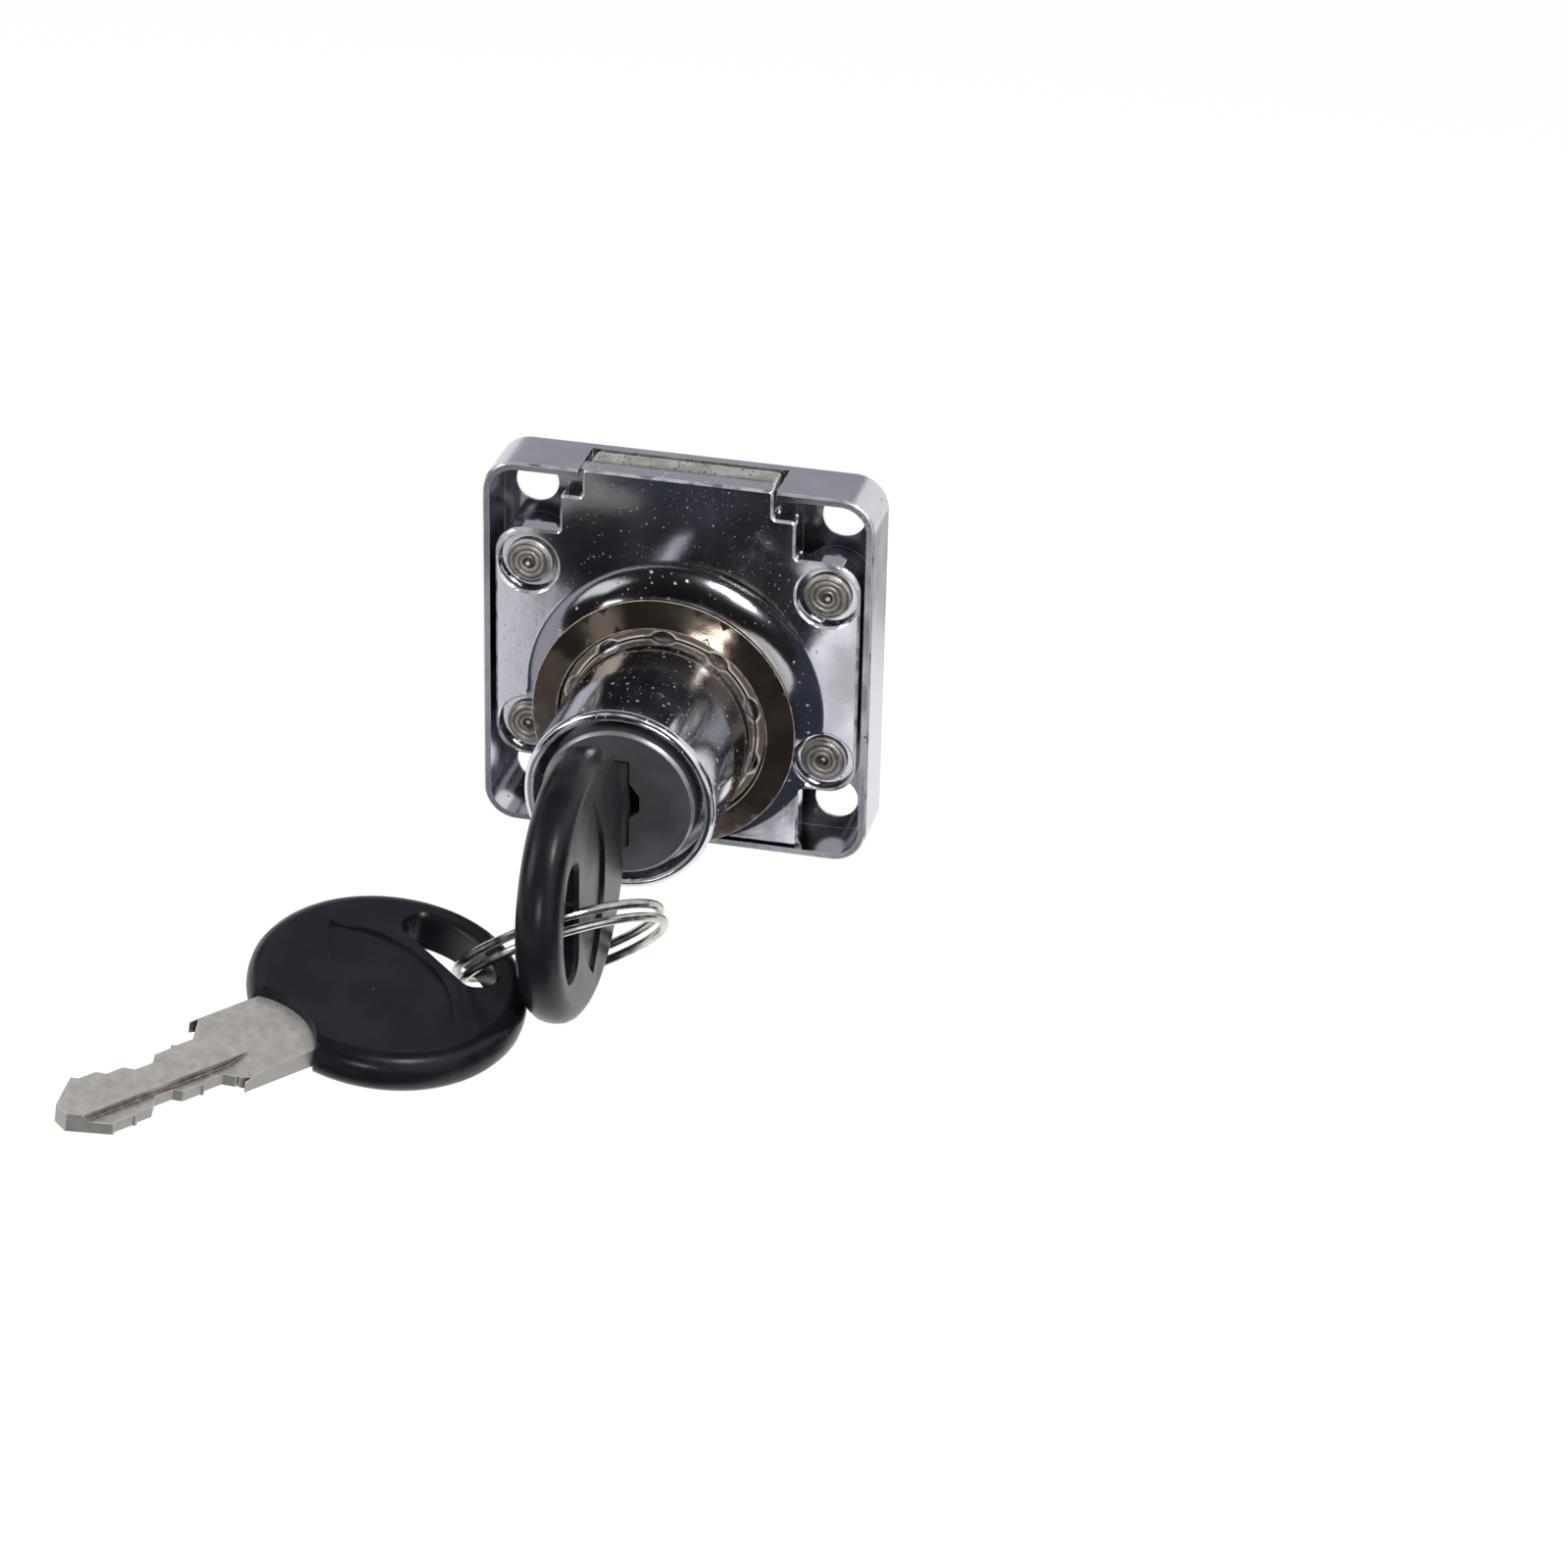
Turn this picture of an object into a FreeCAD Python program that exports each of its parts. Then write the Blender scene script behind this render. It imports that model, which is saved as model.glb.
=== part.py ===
import FreeCAD, Part
import math
import os

# A surface-mounted cabinet lock with its two keys, in millimetres.
# X runs across the lock, +Y into the cupboard and +Z up, the way the bolt is thrown.
# The origin is where the barrel's axis meets the mounting plane, the rim of the case.

V = FreeCAD.Vector

# How far shapes that become one piece reach into each other
JOINED = 0.2

# Case: a shallow cast tray, open towards the drawer front
CASE_SIDE = 40.0
CASE_DEPTH = 7.2
CASE_WALL = 0.8
CASE_BACK = 1.6
CASE_CORNER = 3.5
CASE_BACK_ROUNDING = 0.7
CASE_RIM_BEVEL = 0.2
CASE_ABOVE_AXIS = 4.45
GUIDE_RIB = 2.0
GUIDE_RIB_FOOT = -8.0

# Screw holes in the four corners, countersunk from the back
SCREW_FROM_EDGE = 4.25
SCREW_HOLE = 4.4
SCREW_SINK = 7.0

# Sunk panel on the back, with a rounded land left round each screw hole
PANEL_BORDER = 1.8
PANEL_SINK = 0.3
PANEL_LAND = 6.3

# Cover: one casting with the flared foot and the barrel
COVER_SINK = 0.2
COVER_EDGE_BEVEL = 0.25
TONGUE_OVER_BOLT = 0.2
SHOULDER_REACH = 2.3
SHOULDER_DROP = 3.05
LOBE_GAP = 0.5
LOBE_ABOVE_RIVET = 3.85
LOBE_BELOW_RIVET = 3.35
LOBE_CORNER = 3.0
FOOT_STEP = 5.8
FOOT_GAP = 0.2
SMALL_CORNER = 0.45
FLARE_SPREAD = 5.9
FLARE_HEIGHT = 4.2
FLARE_HOLLOW = 0.36
FLARE_FLAT_COUNT = 7

BARREL_DIAMETER = 19.2
BARREL_LENGTH = 22.0
BARREL_ROUNDING = 0.8
BARREL_ROUNDING_COUNT = 3
MOUTH_LIP = 1.0
MOUTH_DEPTH = 1.75
MOUTH_BEVEL = 0.3
TUMBLER_GROOVE_DEPTH = 1.6
TUMBLER_GROOVE_GAP = 0.2

# Rivets that hold the cover on the posts of the case
RIVET_FROM_WALL = 3.9
RIVET_SPACING_Z = 18.1
RIVET_SHANK = 3.0
RIVET_HEAD = 4.8
RIVET_SEAT = 6.2
RIVET_SEAT_DEPTH = 1.0
RIVET_CROWN = 3.45
RIVET_CROWN_SINK = 0.2
RIVET_EDGE_SINK = 0.6
RIVET_DIMPLE = 1.3
RIVET_END = 0.6
POST_DIAMETER = 6.8

# Plug, turned by the key
PLUG_SHOULDER = 1.25
PLUG_RUNNING_GAP = 0.05
PLUG_HEAD_GAP = 0.9
PLUG_PROUD = 0.3
PLUG_HEAD_BEVEL = 0.35
PLUG_END_GAP = 0.1
KEYWAY_GAP = 0.15
KEYWAY_END_GAP = 0.5
WARD_REACH = 1.05
WARD_TOP = 1.5
WARD_FOOT = -1.2

# Clip that keeps the plug in the barrel
CLIP_THICKNESS = 0.7
CLIP_BITE = 0.85
CLIP_REACH = 1.45
CLIP_GAP_ANGLE = 70.0
CLIP_PLAY = 0.1
CLIP_FLANGE = 0.65

# Wafer tumblers
WAFER_COUNT = 5
WAFER_PITCH = 2.6
WAFER_THICKNESS = 1.0
WAFER_WIDTH = 5.6
WAFER_SLOT_GAP = 0.05
WAFER_SHORT = 0.2
WAFER_WINDOW_GAP = 0.25
WAFER_ARM = 1.65
FIRST_WAFER_FROM_SHOULDER = 2.1
SPRING_DIAMETER = 0.85
SPRING_TOP = -0.9
SPRING_FOOT = -4.3
SPRING_POCKET_GAP = 0.15

# Bolt, moved by an eccentric pin on the plug
BOLT_WIDTH = 19.0
BOLT_THICKNESS = 3.2
BOLT_THROW = 10.6
BOLT_FACE_GAP = 0.1
BOLT_SIDE_GAP = 0.12
BOLT_WINDOW_GAP = 0.6
BOLT_END_ROUNDING = 0.8
BOLT_CORNER = 0.4
BOLT_TAIL = 2.7
DRIVE_PIN = 2.2
DRIVE_PIN_PLAY = 0.17
DRIVE_SLOT_END_PLAY = 0.3
DRIVE_SLOT_CORNER = 1.2

# Trim ring that covers the hole in the drawer front
TRIM_BAND = 2.7
TRIM_SLOPE = 0.35
TRIM_TOOTH = 0.85
TRIM_SHEET = 0.5
TRIM_RISE = 0.9
TRIM_STEP_DROP = 0.6
TRIM_BEFORE_FLARE = 1.5
TRIM_GRIP_GAP = 0.06
TRIM_TEETH = 10
TRIM_NOTCH_RADIUS = 1.5
TRIM_NOTCH_DEPTH = 0.62

# Keys: a cut blade in a round moulded bow
BOW_DIAMETER = 26.4
BOW_THICKNESS = 4.4
BOW_ROUNDING = 1.9
BOW_ROUNDING_COUNT = 4
BOW_RIM = 3.0
BITE_RADIUS = 7.0
BITE_DEPTH = 3.0
HOLE_HEIGHT = 4.7
HOLE_LENGTH = 11.6
HOLE_CORNER = 1.5
HOLE_BEVEL = 0.4
LENS_RADIUS = 12.4
LENS_HEIGHT = 8.4
LENS_SINK = 0.35
BLADE_THICKNESS = 2.0
COLLAR_WIDTH = 9.0
COLLAR_REACH = 6.4
BLADE_WIDTH = 6.8
BLADE_LENGTH = 17.2
TIP_TAPER = 3.4
TIP_FLAT = 1.6
TANG_WIDTH = 6.0
TANG_FROM_CENTRE = -2.5
GROOVE_FROM_MIDDLE = 1.7
GROOVE_DEPTH = 0.75
GROOVE_BEFORE_SHOULDER = 2.4
GROOVE_RUN_IN = 2.25
GROOVE_TIP_LAND = 1.0
CUT_FLAT = 1.9
CUTS_ABOVE = (0.6, 1.3, 2.1, 1.2, 1.1)
CUTS_BELOW = (0.2, 0.3, 1.4, 0.7, 0.9)

# Seat of the key in the lock
KEY_SHOULDER_PLAY = 0.1
COLLAR_SEAT_DEPTH = 2.8

# Split ring: two turns of round wire with one crossover between the turns
RING_WIRE = 0.9
RING_SIDE_COUNT = 12
RING_PITCH = 1.35
RING_UNDER_BOW = 6.23
RING_FROM_HOLE = (-1.04, 5.58, -7.06)
RING_TILT = 44.0
RING_TILT_HEADING = 130.2
RING_CROSSOVER_AT = -25.0
RING_CROSSOVER_ANGLE = 34.0
RING_END_GAP_ANGLE = 9.0
RING_ARCS_PER_TURN = 3
RING_GAP_POINTS = 40

# Where the loose key hangs: its place along the ring, and the ring's place in its hole
LOOSE_KEY_RING_ANGLE = 73.7
RING_IN_HOLE = (-1.67, 1.66, 0.0)
LOOSE_KEY_HEADING = 234.6
LOOSE_KEY_PITCH = -0.6
LOOSE_KEY_ROLL_ANGLE = -10.8


# Places that follow from the sizes above
CASE_FLOOR = CASE_DEPTH - CASE_BACK
BOLT_BACK = CASE_FLOOR - BOLT_FACE_GAP
BOLT_FRONT = BOLT_BACK - BOLT_THICKNESS
COVER_BACK = BOLT_FRONT - BOLT_FACE_GAP
CASE_TOP = CASE_ABOVE_AXIS + CASE_SIDE / 2
CASE_FOOT = CASE_ABOVE_AXIS - CASE_SIDE / 2
CASE_INSIDE = CASE_SIDE - 2 * CASE_WALL
SCREW_SPACING = CASE_SIDE - 2 * SCREW_FROM_EDGE
RIVET_SPACING_X = CASE_INSIDE - 2 * RIVET_FROM_WALL
NOTCH_WIDTH = BOLT_WIDTH + 2 * BOLT_WINDOW_GAP
TONGUE_WIDTH = BOLT_WIDTH + 2 * TONGUE_OVER_BOLT
SHOULDER_WIDTH = TONGUE_WIDTH + 2 * SHOULDER_REACH
LOBE_WIDTH = CASE_INSIDE - 2 * LOBE_GAP
FOOT_WIDTH = LOBE_WIDTH - 2 * FOOT_STEP
FLARE_DIAMETER = BARREL_DIAMETER + 2 * FLARE_SPREAD
FLARE_BASE = COVER_SINK
FLARE_TOP = FLARE_BASE - FLARE_HEIGHT
BARREL_FRONT = -BARREL_LENGTH
MOUTH_DIAMETER = BARREL_DIAMETER - 2 * MOUTH_LIP
MOUTH_FLOOR = BARREL_FRONT + MOUTH_DEPTH
PLUG_FACE = BARREL_FRONT - PLUG_PROUD
PLUG_HEAD = MOUTH_DIAMETER - 2 * PLUG_HEAD_GAP
PLUG_DIAMETER = PLUG_HEAD - 2 * PLUG_SHOULDER
PLUG_HEAD_BACK = MOUTH_FLOOR - PLUG_RUNNING_GAP
PLUG_END = COVER_BACK - PLUG_END_GAP
BORE_DIAMETER = PLUG_DIAMETER + 2 * PLUG_RUNNING_GAP
CLIP_INSIDE = PLUG_DIAMETER - 2 * CLIP_BITE
CLIP_OUTSIDE = PLUG_DIAMETER + 2 * CLIP_REACH
CLIP_BACK = PLUG_END - CLIP_FLANGE
CLIP_FRONT = CLIP_BACK - CLIP_THICKNESS
CLIP_SEAT = CLIP_FRONT - CLIP_PLAY
DRIVE_RADIUS = BOLT_THROW / 2
# A steady ratio stands in for the pin's true path, which strays from it by this share of the radius
STEADY_RATIO_STRAY = 0.2105
DRIVE_SLOT_HEIGHT = DRIVE_PIN + 2 * (DRIVE_RADIUS * STEADY_RATIO_STRAY + DRIVE_PIN_PLAY)
DRIVE_SLOT_WIDTH = DRIVE_PIN + 2 * (DRIVE_RADIUS * (1 + STEADY_RATIO_STRAY) + DRIVE_SLOT_END_PLAY)
BOLT_FOOT = -DRIVE_RADIUS - DRIVE_SLOT_HEIGHT / 2 - BOLT_TAIL
TRIM_STEP = BARREL_DIAMETER + 2 * TRIM_TOOTH
TRIM_CREST = TRIM_STEP + 2 * TRIM_SLOPE
TRIM_OUTSIDE = TRIM_CREST + 2 * TRIM_BAND
HOLE_OUTER_RADIUS = BOW_DIAMETER / 2 - BOW_RIM
HOLE_INNER_EDGE = HOLE_OUTER_RADIUS - HOLE_HEIGHT
BITE_FROM_CENTRE = BOW_DIAMETER / 2 - BITE_DEPTH
SHOULDER_FROM_CENTRE = BOW_DIAMETER / 2 + COLLAR_REACH
TIP_FROM_CENTRE = SHOULDER_FROM_CENTRE + BLADE_LENGTH
GROOVE_START = SHOULDER_FROM_CENTRE - GROOVE_BEFORE_SHOULDER
COLLAR_SEAT = PLUG_FACE + COLLAR_SEAT_DEPTH
KEY_CENTRE = V(0, COLLAR_SEAT - KEY_SHOULDER_PLAY - SHOULDER_FROM_CENTRE, 0)
KEYWAY_END = KEY_CENTRE.y + TIP_FROM_CENTRE + KEYWAY_END_GAP
KEYWAY_WIDTH = BLADE_THICKNESS + 2 * KEYWAY_GAP
WAFER_HEIGHT = PLUG_DIAMETER - 2 * WAFER_SHORT
RING_MEAN_DIAMETER = BOW_DIAMETER - RING_UNDER_BOW
RING_CENTRE = KEY_CENTRE + V(0, -HOLE_INNER_EDGE, 0) + V(*RING_FROM_HOLE)


def box(x0, x1, y0, y1, z0, z1):
    return Part.makeBox(x1 - x0, y1 - y0, z1 - z0, V(x0, y0, z0))


def disc_y(diameter, y0, y1, x=0.0, z=0.0):
    """A round bar along Y."""
    return Part.makeCylinder(diameter / 2, y1 - y0, V(x, y0, z), V(0, 1, 0))


def turned_y(profile):
    """A body turned round Y from its half profile of (radius, y) corners."""
    points = [V(radius, y, 0) for radius, y in profile]
    wire = Part.makePolygon(points + points[:1])
    return Part.Face(wire).revolve(V(0, 0, 0), V(0, 1, 0), 360)


def rounded_wire(corners, place):
    """A closed outline of (u, v, radius) corners, each rounded by an arc; place turns (u, v) to a point."""
    edges = []
    starts = []
    ends = []
    mids = []
    count = len(corners)
    for i in range(count):
        u, v, radius = corners[i]
        before = V(corners[i - 1][0] - u, corners[i - 1][1] - v, 0).normalize()
        after = V(corners[(i + 1) % count][0] - u, corners[(i + 1) % count][1] - v, 0).normalize()
        half = before.getAngle(after) / 2
        reach = radius / math.tan(half)
        inward = (before + after).normalize()
        depth = radius / math.sin(half) - radius
        corner = V(u, v, 0)
        starts.append(corner + before * reach)
        ends.append(corner + after * reach)
        mids.append(corner + inward * depth)
    for i in range(count):
        arc = Part.Arc(place(starts[i]), place(mids[i]), place(ends[i]))
        edges.append(arc.toShape())
        edges.append(Part.makeLine(place(ends[i]), place(starts[(i + 1) % count])))
    return Part.Wire(edges)


def rounded_plate(corners, y0, y1):
    """A flat plate across Y with rounded (x, z) corners."""
    wire = rounded_wire(corners, lambda p: V(p.x, y0, p.y))
    return Part.Face(wire).extrude(V(0, y1 - y0, 0))


def square_corners(side, radius, middle):
    half = side / 2
    return [
        (-half, middle - half, radius),
        (half, middle - half, radius),
        (half, middle + half, radius),
        (-half, middle + half, radius),
    ]


def in_flats(start, middle, end, count):
    """An arc through three points, drawn as a few equal flats to keep a turned rounding light."""
    points = Part.Arc(start, middle, end).toShape().discretize(count + 1)
    return [Part.makeLine(points[i], points[i + 1]) for i in range(count)]


def edges_at_y(shape, y):
    """The edges that lie wholly in the plane at this depth."""
    found = []
    for edge in shape.Edges:
        room = edge.BoundBox
        if abs(room.YMin - y) < 1e-4 and abs(room.YMax - y) < 1e-4:
            found.append(edge)
    return found


def corner_places(spacing_x, spacing_z):
    """The centres of four holes set out round the middle of the case."""
    places = []
    for side in (-1, 1):
        for end in (-1, 1):
            places.append((side * spacing_x / 2, CASE_ABOVE_AXIS + end * spacing_z / 2))
    return places


def export(name, shape):
    shape.exportStep("parts/" + name + ".step")


# Case

def case_blank():
    outer = rounded_plate(square_corners(CASE_SIDE, CASE_CORNER, CASE_ABOVE_AXIS), 0, CASE_DEPTH)
    outer = outer.makeFillet(CASE_BACK_ROUNDING, edges_at_y(outer, CASE_DEPTH))
    outer = outer.makeChamfer(CASE_RIM_BEVEL, edges_at_y(outer, 0))
    inner_corner = CASE_CORNER - CASE_WALL
    pocket = rounded_plate(square_corners(CASE_INSIDE, inner_corner, CASE_ABOVE_AXIS), -1, CASE_FLOOR)
    return outer.cut(pocket)


def guide_ribs():
    """Two ribs that the bolt slides between and the cover lies on."""
    inner = BOLT_WIDTH / 2 + BOLT_SIDE_GAP
    top = CASE_TOP - CASE_WALL
    right = box(inner, inner + GUIDE_RIB, COVER_BACK, CASE_FLOOR, GUIDE_RIB_FOOT, top)
    left = right.mirror(V(0, 0, 0), V(1, 0, 0))
    return [right, left]


def rivet_posts():
    return [
        disc_y(POST_DIAMETER, COVER_BACK, CASE_FLOOR, x, z)
        for x, z in corner_places(RIVET_SPACING_X, RIVET_SPACING_Z)
    ]


def screw_holes():
    tools = []
    sink_depth = (SCREW_SINK - SCREW_HOLE) / 2
    for x, z in corner_places(SCREW_SPACING, SCREW_SPACING):
        tools.append(disc_y(SCREW_HOLE, CASE_FLOOR - 1, CASE_DEPTH + 1, x, z))
        start = V(x, CASE_DEPTH - sink_depth, z)
        tools.append(Part.makeCone(SCREW_HOLE / 2, SCREW_SINK / 2, sink_depth, start, V(0, 1, 0)))
    return tools


def back_panel():
    """The sunk field on the back: a square less a land at each screw hole."""
    side = CASE_SIDE - 2 * PANEL_BORDER
    corner = CASE_CORNER - PANEL_BORDER
    field = rounded_plate(
        square_corners(side, corner, CASE_ABOVE_AXIS), CASE_DEPTH - PANEL_SINK, CASE_DEPTH + 1
    )
    lands = [
        disc_y(2 * PANEL_LAND, CASE_DEPTH - 1, CASE_DEPTH + 2, x, z)
        for x, z in corner_places(SCREW_SPACING, SCREW_SPACING)
    ]
    return field.cut(lands)


def rivet_holes():
    return [
        disc_y(RIVET_SHANK, -1, CASE_DEPTH - PANEL_SINK - RIVET_END, x, z)
        for x, z in corner_places(RIVET_SPACING_X, RIVET_SPACING_Z)
    ]


def case():
    shape = case_blank().fuse(guide_ribs() + rivet_posts()).removeSplitter()
    half = NOTCH_WIDTH / 2
    notch = box(-half, half, -1, CASE_FLOOR, CASE_TOP - CASE_WALL, CASE_TOP + 1)
    return shape.cut([notch, back_panel()] + screw_holes() + rivet_holes())


# Cover with barrel

def cover_corners():
    """The stepped outline: tongue, shoulders, two lobes for the rivets and a foot."""
    top = CASE_TOP
    shoulder = top - SHOULDER_DROP
    lobe_top = CASE_ABOVE_AXIS + RIVET_SPACING_Z / 2 + LOBE_ABOVE_RIVET
    lobe_foot = CASE_ABOVE_AXIS - RIVET_SPACING_Z / 2 - LOBE_BELOW_RIVET
    foot = CASE_FOOT + CASE_WALL + FOOT_GAP
    right = [
        (TONGUE_WIDTH / 2, top, SMALL_CORNER),
        (TONGUE_WIDTH / 2, shoulder, SMALL_CORNER),
        (SHOULDER_WIDTH / 2, shoulder, SMALL_CORNER),
        (SHOULDER_WIDTH / 2, lobe_top, SMALL_CORNER),
        (LOBE_WIDTH / 2, lobe_top, LOBE_CORNER),
        (LOBE_WIDTH / 2, lobe_foot, LOBE_CORNER),
        (FOOT_WIDTH / 2, lobe_foot, SMALL_CORNER),
        (FOOT_WIDTH / 2, foot, SMALL_CORNER),
    ]
    left = [(-x, z, radius) for x, z, radius in reversed(right)]
    return right + left


def flared_barrel():
    """The barrel and its hollow flared foot, turned round Y."""
    foot_radius = FLARE_DIAMETER / 2
    radius = BARREL_DIAMETER / 2
    foot = V(foot_radius, FLARE_BASE, 0)
    middle = V(radius + FLARE_SPREAD * FLARE_HOLLOW, FLARE_BASE - FLARE_HEIGHT * FLARE_HOLLOW, 0)
    top = V(radius, FLARE_TOP, 0)
    turn_in = BARREL_ROUNDING * (1 - math.sqrt(0.5))
    end = V(radius, BARREL_FRONT + BARREL_ROUNDING, 0)
    corner = V(radius - turn_in, BARREL_FRONT + turn_in, 0)
    lip = V(radius - BARREL_ROUNDING, BARREL_FRONT, 0)
    edges = [
        Part.makeLine(V(0, COVER_BACK, 0), V(foot_radius, COVER_BACK, 0)),
        Part.makeLine(V(foot_radius, COVER_BACK, 0), foot),
        Part.makeLine(top, end),
        Part.makeLine(lip, V(0, BARREL_FRONT, 0)),
        Part.makeLine(V(0, BARREL_FRONT, 0), V(0, COVER_BACK, 0)),
    ]
    edges += in_flats(foot, middle, top, FLARE_FLAT_COUNT)
    edges += in_flats(end, corner, lip, BARREL_ROUNDING_COUNT)
    outline = Part.Wire(Part.__sortEdges__(edges))
    return Part.Face(outline).revolve(V(0, 0, 0), V(0, 1, 0), 360)


def barrel_bore():
    """The bore with its mouth and the seat of the clip."""
    bore = BORE_DIAMETER / 2
    mouth = MOUTH_DIAMETER / 2
    seat = CLIP_OUTSIDE / 2 + CLIP_PLAY
    return turned_y([
        (0, BARREL_FRONT - 1),
        (mouth + MOUTH_BEVEL + 1, BARREL_FRONT - 1),
        (mouth, BARREL_FRONT + MOUTH_BEVEL),
        (mouth, MOUTH_FLOOR),
        (bore, MOUTH_FLOOR),
        (bore, CLIP_SEAT),
        (seat, CLIP_SEAT),
        (seat, COVER_BACK + 1),
        (0, COVER_BACK + 1),
    ])


def tumbler_grooves():
    """Two grooves along the bore that the wafers lock into."""
    half = WAFER_WIDTH / 2 + TUMBLER_GROOVE_GAP
    reach = BORE_DIAMETER / 2 + TUMBLER_GROOVE_DEPTH
    front = wafer_y(0) - WAFER_THICKNESS
    back = wafer_y(WAFER_COUNT - 1) + WAFER_THICKNESS
    return box(-half, half, front, back, -reach, reach)


def rivet_seats():
    tools = []
    for x, z in corner_places(RIVET_SPACING_X, RIVET_SPACING_Z):
        tools.append(disc_y(RIVET_SHANK, -1, COVER_BACK + 1, x, z))
        tools.append(disc_y(RIVET_SEAT, -1, COVER_SINK + RIVET_SEAT_DEPTH, x, z))
        tools.append(
            Part.makeCone(
                RIVET_SEAT / 2 + COVER_EDGE_BEVEL,
                RIVET_SEAT / 2,
                COVER_EDGE_BEVEL,
                V(x, COVER_SINK, z),
                V(0, 1, 0),
            )
        )
    return tools


def cover():
    plate = rounded_plate(cover_corners(), COVER_SINK, COVER_BACK)
    plate = plate.makeChamfer(COVER_EDGE_BEVEL, edges_at_y(plate, COVER_SINK))
    within = rounded_plate(cover_corners(), BARREL_FRONT - 1, COVER_BACK + 1)
    shape = plate.fuse(flared_barrel().common(within)).removeSplitter()
    return shape.cut([barrel_bore(), tumbler_grooves()] + rivet_seats())


# Rivets

def rivet(x, z):
    """A headed rivet, dished in the middle where its end was spun over."""
    seat = COVER_SINK + RIVET_SEAT_DEPTH
    crown = COVER_SINK + RIVET_CROWN_SINK
    edge = COVER_SINK + RIVET_EDGE_SINK
    head = RIVET_HEAD / 2
    dimple = RIVET_DIMPLE / 2
    shank = RIVET_SHANK / 2
    end = CASE_DEPTH - PANEL_SINK - RIVET_END
    shape = turned_y([
        (0, seat - dimple),
        (dimple, crown),
        (RIVET_CROWN / 2, crown),
        (head, edge),
        (head, seat),
        (shank, seat),
        (shank, end),
        (0, end),
    ])
    shape.translate(V(x, 0, z))
    return shape


def rivets():
    return Part.makeCompound([rivet(x, z) for x, z in corner_places(RIVET_SPACING_X, RIVET_SPACING_Z)])


# Plug, wafers and clip

def wafer_y(number):
    """The depth of a wafer's middle; the first one is nearest the keyhole."""
    shoulder = KEY_CENTRE.y + SHOULDER_FROM_CENTRE
    return shoulder + FIRST_WAFER_FROM_SHOULDER + number * WAFER_PITCH


def keyway():
    half = KEYWAY_WIDTH / 2
    collar = COLLAR_WIDTH / 2 + KEYWAY_GAP
    blade = BLADE_WIDTH / 2 + KEYWAY_GAP
    front = PLUG_FACE - 1
    ward = [
        V(half - JOINED, front, WARD_TOP + WARD_REACH),
        V(half + WARD_REACH, front, WARD_TOP - WARD_REACH / 2),
        V(half + WARD_REACH, front, WARD_FOOT + WARD_REACH / 2),
        V(half - JOINED, front, WARD_FOOT - WARD_REACH / 2),
    ]
    bulge = Part.Face(Part.makePolygon(ward + ward[:1])).extrude(V(0, KEYWAY_END - front, 0))
    return [
        box(-half, half, front, COLLAR_SEAT, -collar, collar),
        box(-half, half, front, KEYWAY_END, -blade, blade),
        bulge,
    ]


def wafer_slot(number):
    """A slot across the plug, with a ledge left for the wafer's spring."""
    middle = wafer_y(number)
    half_y = WAFER_THICKNESS / 2 + WAFER_SLOT_GAP
    half_x = WAFER_WIDTH / 2 + WAFER_SLOT_GAP
    reach = PLUG_DIAMETER
    slot = box(-half_x, half_x, middle - half_y, middle + half_y, -reach, reach)
    ledge = box(
        WAFER_ARM + SPRING_POCKET_GAP,
        half_x,
        middle - half_y,
        middle + half_y,
        -reach,
        SPRING_FOOT,
    )
    return slot.cut(ledge)


def clip_groove():
    inside = CLIP_INSIDE / 2 - CLIP_PLAY
    front = CLIP_FRONT - CLIP_PLAY / 2
    back = CLIP_BACK + CLIP_PLAY / 2
    return disc_y(PLUG_DIAMETER + 1, front, back).cut(disc_y(2 * inside, front, back))


def plug():
    head = PLUG_HEAD / 2
    radius = PLUG_DIAMETER / 2
    body = turned_y([
        (0, PLUG_FACE),
        (head - PLUG_HEAD_BEVEL, PLUG_FACE),
        (head, PLUG_FACE + PLUG_HEAD_BEVEL),
        (head, PLUG_HEAD_BACK),
        (radius, PLUG_HEAD_BACK),
        (radius, PLUG_END),
        (0, PLUG_END),
    ])
    pin = disc_y(DRIVE_PIN, PLUG_END - JOINED, BOLT_BACK - PLUG_END_GAP, 0, -DRIVE_RADIUS)
    slots = [wafer_slot(number) for number in range(WAFER_COUNT)]
    return body.fuse(pin).removeSplitter().cut(keyway() + slots + [clip_groove()])


def wafer(number):
    """A flat tumbler with a window for the blade, held flush with the plug by the key."""
    middle = wafer_y(number)
    front = middle - WAFER_THICKNESS / 2
    back = middle + WAFER_THICKNESS / 2
    half = WAFER_WIDTH / 2
    window_x = BLADE_THICKNESS / 2 + WAFER_WINDOW_GAP
    window_z = BLADE_WIDTH / 2 + WAFER_WINDOW_GAP
    shape = disc_y(WAFER_HEIGHT, front, back)
    shape = shape.common(box(-half, half, front, back, -WAFER_HEIGHT, WAFER_HEIGHT))
    window = box(-window_x, window_x, front - 1, back + 1, -window_z, window_z)
    arm_cut = box(WAFER_ARM, half + 1, front - 1, back + 1, -WAFER_HEIGHT, SPRING_TOP)
    return shape.cut([window, arm_cut])


def tumbler_spring(number):
    """The small coil under the wafer's arm, as a plain bar of its outer size."""
    x = (WAFER_ARM + SPRING_POCKET_GAP + WAFER_WIDTH / 2 + WAFER_SLOT_GAP) / 2
    start = V(x, wafer_y(number), SPRING_FOOT)
    return Part.makeCylinder(SPRING_DIAMETER / 2, SPRING_TOP - SPRING_FOOT, start, V(0, 0, 1))


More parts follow.
